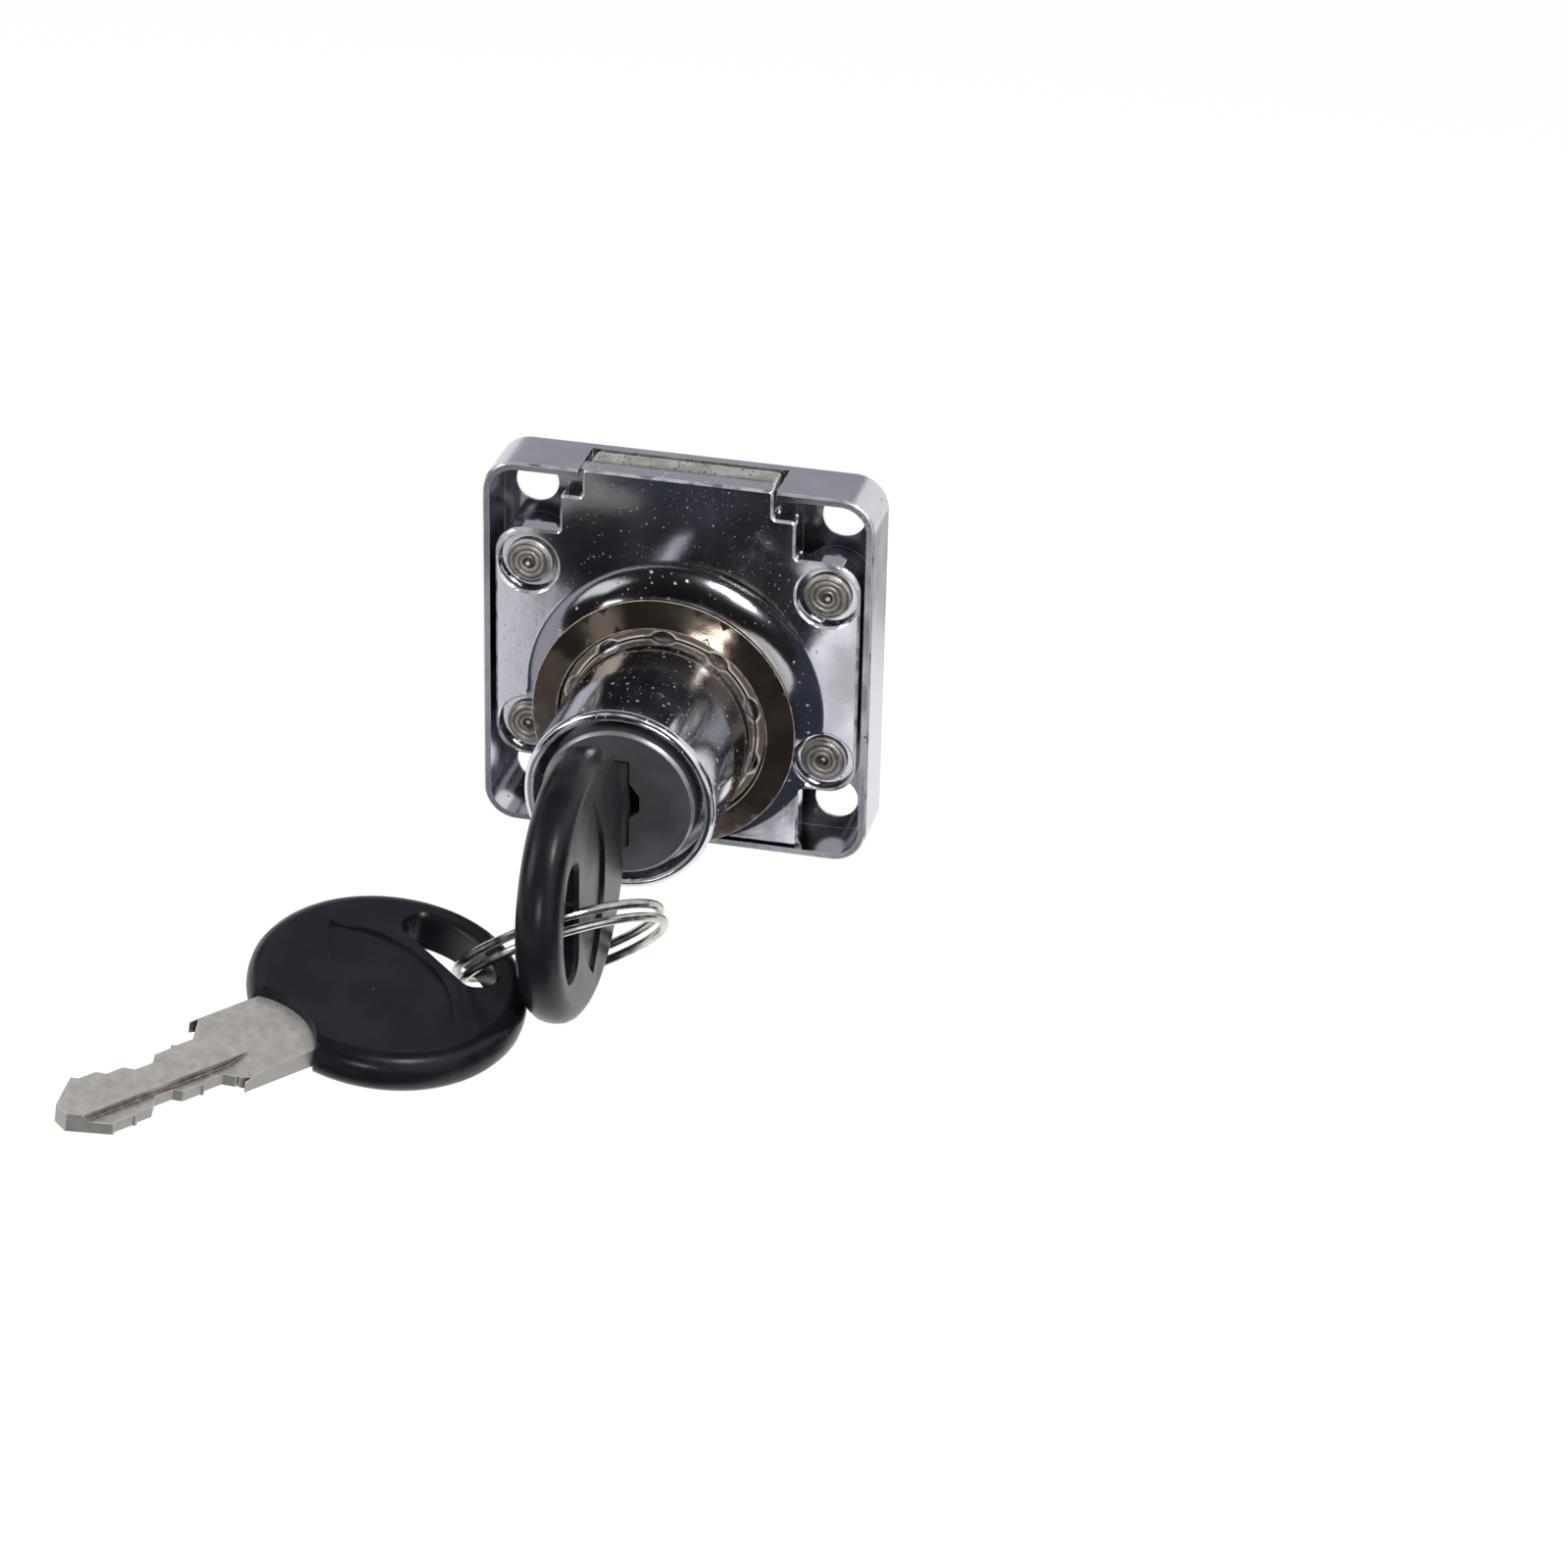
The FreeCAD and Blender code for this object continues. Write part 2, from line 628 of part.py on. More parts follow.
def clip():
    """An open ring in the plug's groove, behind the seat in the barrel."""
    ring = disc_y(CLIP_OUTSIDE, CLIP_FRONT, CLIP_BACK).cut(disc_y(CLIP_INSIDE, CLIP_FRONT, CLIP_BACK))
    reach = CLIP_OUTSIDE
    spread = reach * math.tan(math.radians(CLIP_GAP_ANGLE / 2))
    wedge = [V(0, CLIP_FRONT, 0), V(-spread, CLIP_FRONT, reach), V(spread, CLIP_FRONT, reach)]
    opening = Part.Face(Part.makePolygon(wedge + wedge[:1])).extrude(V(0, CLIP_THICKNESS, 0))
    return ring.cut(opening)


# Bolt

def bolt():
    half = BOLT_WIDTH / 2
    body = rounded_plate(
        [
            (-half, BOLT_FOOT, BOLT_CORNER),
            (half, BOLT_FOOT, BOLT_CORNER),
            (half, CASE_TOP, BOLT_CORNER),
            (-half, CASE_TOP, BOLT_CORNER),
        ],
        BOLT_FRONT,
        BOLT_BACK,
    )
    slot_x = DRIVE_SLOT_WIDTH / 2
    slot_z = DRIVE_SLOT_HEIGHT / 2
    slot = rounded_plate(
        [
            (-slot_x, -DRIVE_RADIUS - slot_z, DRIVE_SLOT_CORNER),
            (slot_x, -DRIVE_RADIUS - slot_z, DRIVE_SLOT_CORNER),
            (slot_x, -DRIVE_RADIUS + slot_z, DRIVE_SLOT_CORNER),
            (-slot_x, -DRIVE_RADIUS + slot_z, DRIVE_SLOT_CORNER),
        ],
        BOLT_FRONT - 1,
        BOLT_BACK + 1,
    )
    body = body.makeFillet(BOLT_END_ROUNDING, bolt_end_edges(body))
    return body.cut(slot)


def bolt_end_edges(body):
    """The two long edges of the end that comes out of the case."""
    found = []
    for edge in body.Edges:
        room = edge.BoundBox
        if abs(room.ZMin - CASE_TOP) < 1e-4 and room.XLength > BOLT_WIDTH / 2:
            found.append(edge)
    return found


# Trim ring

def trim_ring():
    """A pressed ring: outer band, crest, and a lower inner step whose teeth grip the barrel."""
    crest = FLARE_TOP - TRIM_BEFORE_FLARE
    outer = TRIM_OUTSIDE / 2
    grip = BARREL_DIAMETER / 2 + TRIM_GRIP_GAP
    step = TRIM_STEP / 2
    low = crest + TRIM_STEP_DROP
    shape = turned_y([
        (grip, low),
        (step, low),
        (TRIM_CREST / 2, crest),
        (outer, crest + TRIM_RISE),
        (outer, crest + TRIM_RISE + TRIM_SHEET),
        (TRIM_CREST / 2, crest + TRIM_SHEET),
        (step + TRIM_SHEET / 2, low + TRIM_SHEET),
        (grip, low + TRIM_SHEET),
    ])
    notch_at = grip + TRIM_NOTCH_DEPTH - TRIM_NOTCH_RADIUS
    notches = []
    for number in range(TRIM_TEETH):
        angle = 2 * math.pi * (number + 0.5) / TRIM_TEETH
        x = notch_at * math.cos(angle)
        z = notch_at * math.sin(angle)
        notches.append(disc_y(2 * TRIM_NOTCH_RADIUS, crest - 1, low + TRIM_SHEET + 1, x, z))
    return shape.cut(notches)


# Keys, made flat: X from the middle of the bow towards the tip, Y across, Z through the thickness

def cut_tool(position, depth, edge_y, side):
    """One cut in an edge of the blade: a flat with flanks at 45 degrees."""
    bottom = edge_y - side * depth
    outside = edge_y + side
    flat = CUT_FLAT / 2
    spread = flat + depth + 1
    points = [
        V(position - flat, bottom, -BLADE_THICKNESS),
        V(position + flat, bottom, -BLADE_THICKNESS),
        V(position + spread, outside, -BLADE_THICKNESS),
        V(position - spread, outside, -BLADE_THICKNESS),
    ]
    return Part.Face(Part.makePolygon(points + points[:1])).extrude(V(0, 0, 2 * BLADE_THICKNESS))


def blade_cuts():
    """The cuts that stand at the wafers; their depths are listed from the tip."""
    tools = []
    half = BLADE_WIDTH / 2
    for number in range(WAFER_COUNT):
        position = SHOULDER_FROM_CENTRE + FIRST_WAFER_FROM_SHOULDER + number * WAFER_PITCH
        from_tip = WAFER_COUNT - 1 - number
        tools.append(cut_tool(position, CUTS_ABOVE[from_tip], -half, -1))
        tools.append(cut_tool(position, CUTS_BELOW[from_tip], half, 1))
    return tools


def blade_groove(side):
    """The milled step along one edge of one face, run out near the collar."""
    half = BLADE_THICKNESS / 2
    floor = half - GROOVE_DEPTH
    start = GROOVE_START
    end = TIP_FROM_CENTRE - GROOVE_TIP_LAND
    points = [
        V(start, 0, half),
        V(start + GROOVE_RUN_IN, 0, floor),
        V(end - GROOVE_DEPTH, 0, floor),
        V(end, 0, half),
        V(end, 0, half + 1),
        V(start, 0, half + 1),
    ]
    tool = Part.Face(Part.makePolygon(points + points[:1])).extrude(V(0, COLLAR_WIDTH, 0))
    tool.translate(V(0, GROOVE_FROM_MIDDLE, 0))
    if side < 0:
        tool.rotate(V(0, 0, 0), V(1, 0, 0), 180)
    return tool


def blade():
    half = BLADE_WIDTH / 2
    collar = COLLAR_WIDTH / 2
    tip = TIP_FROM_CENTRE
    shoulder = SHOULDER_FROM_CENTRE
    low = -BLADE_THICKNESS / 2
    bite = BITE_FROM_CENTRE - 1
    outline = [
        (TANG_FROM_CENTRE, TANG_WIDTH / 2),
        (bite, TANG_WIDTH / 2),
        (bite, collar),
        (shoulder, collar),
        (shoulder, half),
        (tip - TIP_TAPER, half),
        (tip, TIP_FLAT / 2),
    ]
    points = [V(x, y, low) for x, y in outline]
    points += [V(x, -y, low) for x, y in reversed(outline)]
    flat = Part.Face(Part.makePolygon(points + points[:1])).extrude(V(0, 0, BLADE_THICKNESS))
    return flat.cut(blade_cuts() + [blade_groove(1), blade_groove(-1)])


def bow_hole():
    """The hole for the ring: straight towards the blade, round towards the rim."""
    reach = BOW_THICKNESS
    outer = Part.makeCylinder(HOLE_OUTER_RADIUS, 2 * reach, V(0, 0, -reach))
    corner = V(-HOLE_OUTER_RADIUS - HOLE_INNER_EDGE, -HOLE_LENGTH / 2, -reach)
    band = Part.makeBox(HOLE_OUTER_RADIUS, HOLE_LENGTH, 2 * reach, corner)
    hole = outer.common(band)
    upright = [edge for edge in hole.Edges if edge.BoundBox.ZLength > reach]
    return hole.makeFillet(HOLE_CORNER, upright)


def bow_disc():
    """The round bow, turned, with a rounded rim."""
    half = BOW_THICKNESS / 2
    radius = BOW_DIAMETER / 2
    inner = radius - BOW_ROUNDING
    lift = half - BOW_ROUNDING
    reach = inner + BOW_ROUNDING * math.sqrt(0.5)
    level = lift + BOW_ROUNDING * math.sqrt(0.5)
    edges = [
        Part.makeLine(V(0, 0, -half), V(inner, 0, -half)),
        Part.makeLine(V(radius, 0, -lift), V(radius, 0, lift)),
        Part.makeLine(V(inner, 0, half), V(0, 0, half)),
        Part.makeLine(V(0, 0, half), V(0, 0, -half)),
    ]
    for side in (-1, 1):
        start = V(inner, 0, side * half)
        end = V(radius, 0, side * lift)
        edges += in_flats(start, V(reach, 0, side * level), end, BOW_ROUNDING_COUNT)
    outline = Part.Wire(Part.__sortEdges__(edges))
    return Part.Face(outline).revolve(V(0, 0, 0), V(0, 0, 1), 360)


def lens_recess(face):
    """A shallow field with two curved sides across one face of the bow, left bare."""
    half = BOW_THICKNESS / 2
    shift = LENS_RADIUS - LENS_HEIGHT / 2
    start = half - LENS_SINK
    one = Part.makeCylinder(LENS_RADIUS, LENS_SINK + 1, V(shift, 0, start))
    two = Part.makeCylinder(LENS_RADIUS, LENS_SINK + 1, V(-shift, 0, start))
    field = one.common(two)
    if face < 0:
        field.rotate(V(0, 0, 0), V(1, 0, 0), 180)
    return field


def hole_rim_edges(shape):
    """The edges of the ring hole on both faces of the bow."""
    half = BOW_THICKNESS / 2
    found = []
    for edge in shape.Edges:
        room = edge.BoundBox
        flat = room.ZLength < 1e-4 and abs(abs(room.ZMin) - half) < 1e-4
        beside = room.XMax < -HOLE_INNER_EDGE + 1e-3
        narrow = room.YMax < HOLE_LENGTH / 2 + 1e-3 and room.YMin > -HOLE_LENGTH / 2 - 1e-3
        if flat and beside and narrow:
            found.append(edge)
    return found


def bow():
    shape = bow_disc().cut(bow_hole())
    shape = shape.makeChamfer(HOLE_BEVEL, hole_rim_edges(shape))
    reach = BOW_THICKNESS
    bite = Part.makeCylinder(BITE_RADIUS, 2 * reach, V(BITE_FROM_CENTRE + BITE_RADIUS, 0, -reach))
    return shape.cut([bite, lens_recess(1), lens_recess(-1), blade()])


def in_lock(shape):
    """Stands a key in the keyway, its bow edge-on to the front."""
    placed = shape.copy()
    turn = FreeCAD.Rotation(V(0, 1, 0), V(0, 0, 1), V(1, 0, 0), "XYZ")
    placed.Placement = FreeCAD.Placement(KEY_CENTRE, turn)
    return placed


def on_ring(shape):
    """Hangs the loose key on the split ring, beside the key in the lock."""
    placed = shape.copy()
    heading = FreeCAD.Rotation(V(0, 0, 1), LOOSE_KEY_HEADING)
    pitch = FreeCAD.Rotation(V(0, 1, 0), LOOSE_KEY_PITCH)
    roll = FreeCAD.Rotation(V(1, 0, 0), LOOSE_KEY_ROLL_ANGLE)
    turn = heading.multiply(pitch).multiply(roll)
    held = RING_CENTRE + ring_tilt().multVec(ring_point(LOOSE_KEY_RING_ANGLE, 0))
    in_hole = V(-HOLE_INNER_EDGE, 0, 0) + V(*RING_IN_HOLE)
    centre = held - turn.multVec(in_hole)
    placed.Placement = FreeCAD.Placement(centre, turn)
    return placed


# Split ring

def ring_tilt():
    return FreeCAD.Rotation(V(0, 0, 1), RING_TILT_HEADING).multiply(FreeCAD.Rotation(V(0, 1, 0), RING_TILT))


def ring_point(angle, level):
    radius = RING_MEAN_DIAMETER / 2
    turn = math.radians(angle)
    return V(radius * math.cos(turn), radius * math.sin(turn), level)


def ring_tangent(angle):
    turn = math.radians(angle)
    return V(-math.sin(turn), math.cos(turn), 0)


def arc_middle(start, tangent, end):
    """The halfway point of the arc that leaves start along tangent and reaches end."""
    chord = end - start
    across = chord - tangent * chord.dot(tangent)
    side = across * (1 / across.Length)
    centre = start + side * (chord.dot(chord) / (2 * across.Length))
    halfway = ((start + end) * 0.5 - centre).normalize()
    return centre + halfway * (start - centre).Length


def biarc(start, start_tangent, end, end_tangent):
    """Two arcs that leave and arrive along the given tangents."""
    chord = end - start
    both = start_tangent + end_tangent
    a = 2 * (1 - start_tangent.dot(end_tangent))
    b = chord.dot(both)
    c = chord.dot(chord)
    reach = (-b + math.sqrt(b * b + a * c)) / a
    joint = (start + start_tangent * reach + end - end_tangent * reach) * 0.5
    first = Part.Arc(start, arc_middle(start, start_tangent, joint), joint)
    second = Part.Arc(joint, arc_middle(end, end_tangent * -1, joint), end)
    return [first.toShape(), second.toShape()]


def ring_turn(start_angle, end_angle, level):
    """Most of a turn at one level, in arcs of under half a circle."""
    edges = []
    step = (end_angle - start_angle) / RING_ARCS_PER_TURN
    for number in range(RING_ARCS_PER_TURN):
        angle = start_angle + number * step
        arc = Part.Arc(
            ring_point(angle, level),
            ring_point(angle + step / 2, level),
            ring_point(angle + step, level),
        )
        edges.append(arc.toShape())
    return edges


def ring_route():
    """One turn on the lower level, the crossover, and one turn on the upper level."""
    low = -RING_PITCH / 2
    high = RING_PITCH / 2
    crossed = RING_CROSSOVER_ANGLE
    first_turn = ring_turn(crossed + RING_END_GAP_ANGLE - 360, 0, low)
    crossover = biarc(
        ring_point(0, low), ring_tangent(0), ring_point(crossed, high), ring_tangent(crossed)
    )
    last_turn = ring_turn(crossed, 360 - RING_END_GAP_ANGLE, high)
    return Part.Wire(first_turn + crossover + last_turn)


def ring_gap(route):
    """The least gap between turns, from points on the wire at least half a turn apart."""
    points = []
    for edge in route.Edges:
        points += edge.discretize(RING_GAP_POINTS)[:-1]
    apart = len(points) // 4
    least = RING_MEAN_DIAMETER
    for i in range(len(points)):
        for j in range(i + apart, len(points)):
            least = min(least, points[i].distanceToPoint(points[j]))
    return least - RING_WIRE


def wire_section(angle, level):
    """The wire's section across the route, drawn with a few sides to keep the two turns light."""
    centre = ring_point(angle, level)
    outward = ring_tangent(angle).cross(V(0, 0, 1))
    points = []
    for side in range(RING_SIDE_COUNT):
        turn = 2 * math.pi * side / RING_SIDE_COUNT
        reach = outward * math.cos(turn) + V(0, 0, 1) * math.sin(turn)
        points.append(centre + reach * (RING_WIRE / 2))
    return Part.makePolygon(points + points[:1])


def split_ring():
    """Two turns of wire in one unbroken tube."""
    route = ring_route()
    section = wire_section(RING_CROSSOVER_ANGLE + RING_END_GAP_ANGLE, -RING_PITCH / 2)
    tube = route.makePipeShell([section], True, False)
    full = Part.Face(section).Area * route.Length
    print("split ring: least gap between turns %.2f mm" % ring_gap(route))
    print("split ring: volume over section times length %.4f" % (tube.Volume / full))
    crossover = FreeCAD.Rotation(V(0, 0, 1), RING_CROSSOVER_AT)
    tube.Placement = FreeCAD.Placement(RING_CENTRE, ring_tilt().multiply(crossover))
    return tube


def main():
    os.makedirs("parts", exist_ok=True)
    export("case", case())
    export("cover_and_barrel", cover())
    export("cover_rivets", rivets())
    export("plug", plug())
    export("plug_clip", clip())
    for number in range(WAFER_COUNT):
        export("wafer_%d" % (number + 1), wafer(number))
    export("tumbler_springs", Part.makeCompound([tumbler_spring(number) for number in range(WAFER_COUNT)]))
    export("bolt", bolt())
    export("trim_ring", trim_ring())
    key_bow = bow()
    key_blade = blade()
    export("key_bow", in_lock(key_bow))
    export("key_blade", in_lock(key_blade))
    export("loose_key_bow", on_ring(key_bow))
    export("loose_key_blade", on_ring(key_blade))
    export("split_ring", split_ring())


main()
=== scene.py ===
import math

import bmesh
import bpy
from mathutils import Matrix, Vector


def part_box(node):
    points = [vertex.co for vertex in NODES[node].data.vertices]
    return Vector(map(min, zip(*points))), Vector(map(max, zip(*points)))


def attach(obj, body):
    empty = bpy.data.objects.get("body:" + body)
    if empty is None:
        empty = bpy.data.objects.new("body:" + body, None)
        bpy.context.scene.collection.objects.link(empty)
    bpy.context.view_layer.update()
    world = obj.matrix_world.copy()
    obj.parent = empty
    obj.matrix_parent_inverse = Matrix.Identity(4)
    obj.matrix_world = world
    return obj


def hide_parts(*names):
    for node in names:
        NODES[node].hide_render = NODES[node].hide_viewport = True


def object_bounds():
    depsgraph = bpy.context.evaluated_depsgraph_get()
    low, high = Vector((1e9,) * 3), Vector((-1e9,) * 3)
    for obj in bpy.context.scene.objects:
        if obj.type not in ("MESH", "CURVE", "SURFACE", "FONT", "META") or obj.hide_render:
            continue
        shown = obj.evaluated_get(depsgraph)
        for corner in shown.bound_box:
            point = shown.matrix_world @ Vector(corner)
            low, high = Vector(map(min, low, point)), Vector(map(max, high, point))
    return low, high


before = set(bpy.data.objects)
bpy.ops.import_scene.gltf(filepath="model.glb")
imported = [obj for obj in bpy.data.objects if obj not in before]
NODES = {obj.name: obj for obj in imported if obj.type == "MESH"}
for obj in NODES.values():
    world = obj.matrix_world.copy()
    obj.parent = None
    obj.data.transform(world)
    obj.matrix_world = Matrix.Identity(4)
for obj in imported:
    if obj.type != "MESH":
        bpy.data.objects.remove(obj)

# A cabinet lock with its keys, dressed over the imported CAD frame. Blender's units are metres.
CAD_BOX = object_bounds()
MM = 0.001

# Camera, as the photograph's: place in metres, angles in degrees, lens and sensor in millimetres
CAMERA_PLACE = Vector((0.11462, -0.45759, 0.23766))
CAMERA_AZIMUTH = 12.702
CAMERA_ELEVATION = 27.596
CAMERA_ROLL = 1.282
CAMERA_LENS = 120.69
CAMERA_SENSOR = 36.0
CAMERA_CLIP = 0.01

# Sunk panel on the back of the case, in millimetres
PANEL_FLOOR = 6.9
PANEL_HALF = 18.0
PANEL_LAND = 6.5
LATTICE_REACH = 1.5 * PANEL_HALF
SCREW_OFFSET = 15.75
RIDGE_PITCH = 2.3
RIDGE_HALF_WIDTH = 0.17
RIDGE_HEIGHT = 0.2
HATCH_ROWS = 4
HATCH_LENGTH = 1.2
HATCH_HALF_WIDTH = 0.11
HATCH_HEIGHT = 0.1
RIDGE_FOOT = -0.02
RUN_STEP = 0.1
SHORTEST_RUN = 0.4
HALF_ROOT = math.sqrt(0.5)
ALONG = Vector((-HALF_ROOT, 0, HALF_ROOT))
ASIDE = Vector((HALF_ROOT, 0, HALF_ROOT))

# Painted shade on the cover under the trim ring's rim, and stains round the keyhole, in millimetres
TRIM_SHADE_RADII = (11.2, 13.5)
TRIM_SHADE_DEPTHS = (-5.6, -4.6)
STAIN_RADII = (1.5, 4.5)

# Spun rings on the rivets, each with painted shade in its middle and a painted glint beside it, in
# millimetres
RIVET_RADIUS = 2.4
RIVET_PITCH = 0.55
RIVET_SHADE_RADII = (0.45, 0.8)
RIVET_GLINT_RADII = (0.1, 0.3)
RIVET_GLINT_PLACE = (0.1, 0.0, -0.15)

# The trim ring's step and its inner edge, in millimetres
STEP_RADII = (10.35, 10.5)
GRIP_RADIUS = 9.66
NOTCH_CENTRE = 8.78
NOTCH_RADIUS = 1.5
NOTCHES = 10
# How far outside that inner edge the painted highlight along it reaches
TOOTH_HIGHLIGHT_REACH = (0.18, 0.32)

# The way the flat of each blade faces
SEATED_FLAT = (1.0, 0.0, 0.0)
LOOSE_FLAT = (0.158698, -0.100162, 0.982233)

# Wafers, and the springs under them, in millimetres
WAFERS = 5
SPRING_COILS = 6
SPRING_WIRE = 0.13
SPRING_STEPS = 14
WIRE_SIDES = 6

# Softened edges: points closer than a distance in millimetres are joined, then faces that lie within
# an angle of one plane, and edges sharper than an angle are rounded. The angles are in degrees.
WELD_DISTANCE = 0.001
FLAT_ANGLE = 0.5
EDGE_ANGLE = 35.0
EDGE_SEGMENTS = 2

# Light and stage
WORLD_LEVEL = 0.62
FLOOR_DEPTH = 0.26
FLOOR_HEIGHT = CAD_BOX[0].z - FLOOR_DEPTH
FLOOR_SIZE = 12.0
FLOOR_COLOUR = (0.82, 0.82, 0.82, 1.0)
FLOOR_GLOW = 0.42
CARD_DISTANCE = 0.45
WHITE = (1.0, 1.0, 1.0, 1.0)
NIGHT = (0.035, 0.038, 0.055, 1.0)
SHADE = (0.014, 0.014, 0.015, 1.0)
DUSK = (0.4, 0.4, 0.44, 1.0)
HAZE = (0.3, 0.3, 0.34, 1.0)
GREY = (0.42, 0.42, 0.46, 1.0)
CENTRE = (0, 0, 0)

# Lamps: direction, distance, size and power
LAMPS = {
    "key_lamp": ((0.49, -0.50, 0.72), 0.9, 0.16, 3.0),
    "fill_lamp": ((-0.8, -0.5, 0.5), 1.2, 0.5, 3.0),
}

# Cards that lie just over the floor and face up: place over the floor, width, length, colour, and how
# much of each half fades out
TABLE_CARDS = {
    "table_card": ((0.33, -1.33, 0.01), 1.3, 2.5, NIGHT, (0.12, 0.1)),
    "left_table_card": ((-0.8, -0.9, 0.004), 1.2, 1.5, DUSK, (0.15, 0.2)),
    "side_card": ((0.66, -0.12, 0.02), 0.74, 0.86, NIGHT, (0.2, 0.2)),
}

# Standing and hanging cards: place, the point that they face, width, height, colour, how much of each
# half fades out, and brightness
CARDS = {
    "left_side_card": ((-1.2, -0.15, 0.35), (0, 0, 0.1), 1.3, 0.9, SHADE, (0.15, 0.15), 1.0),
    "far_right_card": ((1.1, 0.05, -0.05), CENTRE, 1.0, 0.9, SHADE, (0.2, 0.2), 1.0),
    "front_card": ((0.0, -1.3, 0.6), (0.0, 0, 0.6), 1.7, 2.2, SHADE, (0.15, 0.1), 1.0),
    "upper_left_card": ((-1.3, -1.25, 0.7), (-1.3, 0, 0.7), 1.7, 2.2, SHADE, (0.1, 0.12), 1.0),
    "ceiling_card": ((-0.1, -0.35, 1.3), (-0.1, -0.35, 0), 3.0, 2.2, SHADE, (0.2, 0.3), 1.0),
    "right_card": ((1.35, -0.63, 0.13), CENTRE, 0.6, 0.5, GREY, (0.3, 0.3), 1.0),
    "left_glow": ((-0.46, -0.77, 0.02), CENTRE, 0.2, 0.3, WHITE, (0.5, 0.5), 1.0),
    "front_glow": ((0.03, -0.8, 0.07), CENTRE, 0.17, 0.1, WHITE, (0.5, 0.6), 34.0),
    "top_glow": ((0.14, -0.5, 0.64), CENTRE, 0.14, 0.14, WHITE, (0.5, 0.5), 4.0),
    "upper_back_card": ((-0.4, 1.2, 0.65), CENTRE, 1.6, 0.8, GREY, (0.3, 0.3), 1.0),
    "high_back_card": ((-0.15, 0.9, 0.95), CENTRE, 1.3, 0.6, HAZE, (0.2, 0.2), 1.0),
    "left_back_card": ((-0.83, 0.73, 0.46), CENTRE, 0.7, 0.6, SHADE, (0.3, 0.3), 1.0),
    "right_back_card": ((0.87, 0.64, -0.2), CENTRE, 0.6, 0.5, SHADE, (0.3, 0.3), 1.0),
    "lower_back_card": ((-0.1, 0.55, -0.25), CENTRE, 0.6, 0.12, NIGHT, (0.3, 0.3), 1.0),
}

# Bright windows mirrored in the cover's flat face: left, right, foot and top there in millimetres, how
# much of each half fades out, and brightness
WINDOWS = {
    "right_window": (11.0, 26.0, -10.0, 22.0, (0.25, 0.1), 1.6),
    "left_window": (-28.0, -11.8, -12.0, 22.0, (0.45, 0.1), 1.1),
    "foot_window": (4.0, 16.0, -19.0, -11.0, (0.15, 0.15), 2.2),
}


# Node trees

class Tree:
    """Short calls for filling one node tree."""

    def __init__(self, tree):
        self.tree = tree

    def new(self, kind, inputs=None, **settings):
        node = self.tree.nodes.new(kind)
        for name, value in settings.items():
            setattr(node, name, value)
        for name, value in (inputs or {}).items():
            self.feed(node.inputs[name], value)
        return node

    def feed(self, socket, value):
        """Sets a socket to a constant, or joins it to another node's output."""
        if isinstance(value, bpy.types.NodeSocket):
            self.tree.links.new(value, socket)
        else:
            socket.default_value = value

    def calc(self, operation, *values, clamp=False):
        """A number from numbers."""
        node = self.new("ShaderNodeMath", operation=operation, use_clamp=clamp)
        for number, value in enumerate(values):
            self.feed(node.inputs[number], value)
        return node.outputs[0]

    def vector(self, operation, *values):
        """A vector from vectors."""
        node = self.new("ShaderNodeVectorMath", operation=operation)
        for number, value in enumerate(values):
            self.feed(node.inputs[number], value)
        return node.outputs["Vector"]

    def scaled(self, place, factor):
        """A vector made longer or shorter."""
        node = self.new("ShaderNodeVectorMath", {"Scale": factor}, operation="SCALE")
        self.feed(node.inputs[0], place)
        return node.outputs["Vector"]

    def measure(self, operation, *values):
        """A number from vectors: a length, a distance or how far two directions agree."""
        node = self.new("ShaderNodeVectorMath", operation=operation)
        for number, value in enumerate(values):
            self.feed(node.inputs[number], value)
        return node.outputs["Value"]

    def split(self, place):
        """A vector's parts, by the names X, Y and Z."""
        return self.new("ShaderNodeSeparateXYZ", {"Vector": place}).outputs

    def between(self, value, low, high, to_low=0.0, to_high=1.0):
        """A smooth step of a value from low to high."""
        node = self.new("ShaderNodeMapRange", interpolation_type="SMOOTHSTEP")
        names = ("Value", "From Min", "From Max", "To Min", "To Max")
        for name, setting in zip(names, (value, low, high, to_low, to_high)):
            self.feed(node.inputs[name], setting)
        return node.outputs["Result"]

    def blend(self, share, first, second):
        """A colour between two colours."""
        node = self.new("ShaderNodeMix", data_type="RGBA")
        self.feed(node.inputs["Factor"], share)
        self.feed(node.inputs["A"], first)
        self.feed(node.inputs["B"], second)
        return node.outputs["Result"]

    def effect(self, group, **values):
        """Places a shared effect with its own values; a name's _ stands for a space."""
        node = self.new("ShaderNodeGroup", node_tree=group)
        for name, value in values.items():
            self.feed(node.inputs[name.replace("_", " ")], value)
        return node.outputs


def effect_group(name, inputs, outputs):
    """An empty shared effect with named inputs and outputs."""
    group = bpy.data.node_groups.new(name, "ShaderNodeTree")
    for label, value in inputs.items():
        kind = "NodeSocketFloat" if isinstance(value, float) else "NodeSocketVector"
        group.interface.new_socket(label, in_out="INPUT", socket_type=kind).default_value = value
    for label in outputs:
        group.interface.new_socket(label, in_out="OUTPUT", socket_type="NodeSocketFloat")
    tree = Tree(group)
    entry = tree.new("NodeGroupInput").outputs
    leave = tree.new("NodeGroupOutput").inputs
    return tree, entry, leave


def in_millimetres(tree):
    """Places on the piece, in millimetres."""
    return tree.scaled(tree.new("ShaderNodeTexCoord").outputs["Object"], 1 / MM)


def cells_of(tree, size):
    """Places on the piece, counted in cells of a size in millimetres."""
    return tree.scaled(in_millimetres(tree), tree.calc("DIVIDE", 1.0, size))


def way_faced(tree):
    """The way a face of the piece looks, without its bumps."""
    return tree.new("ShaderNodeTexCoord").outputs["Normal"]


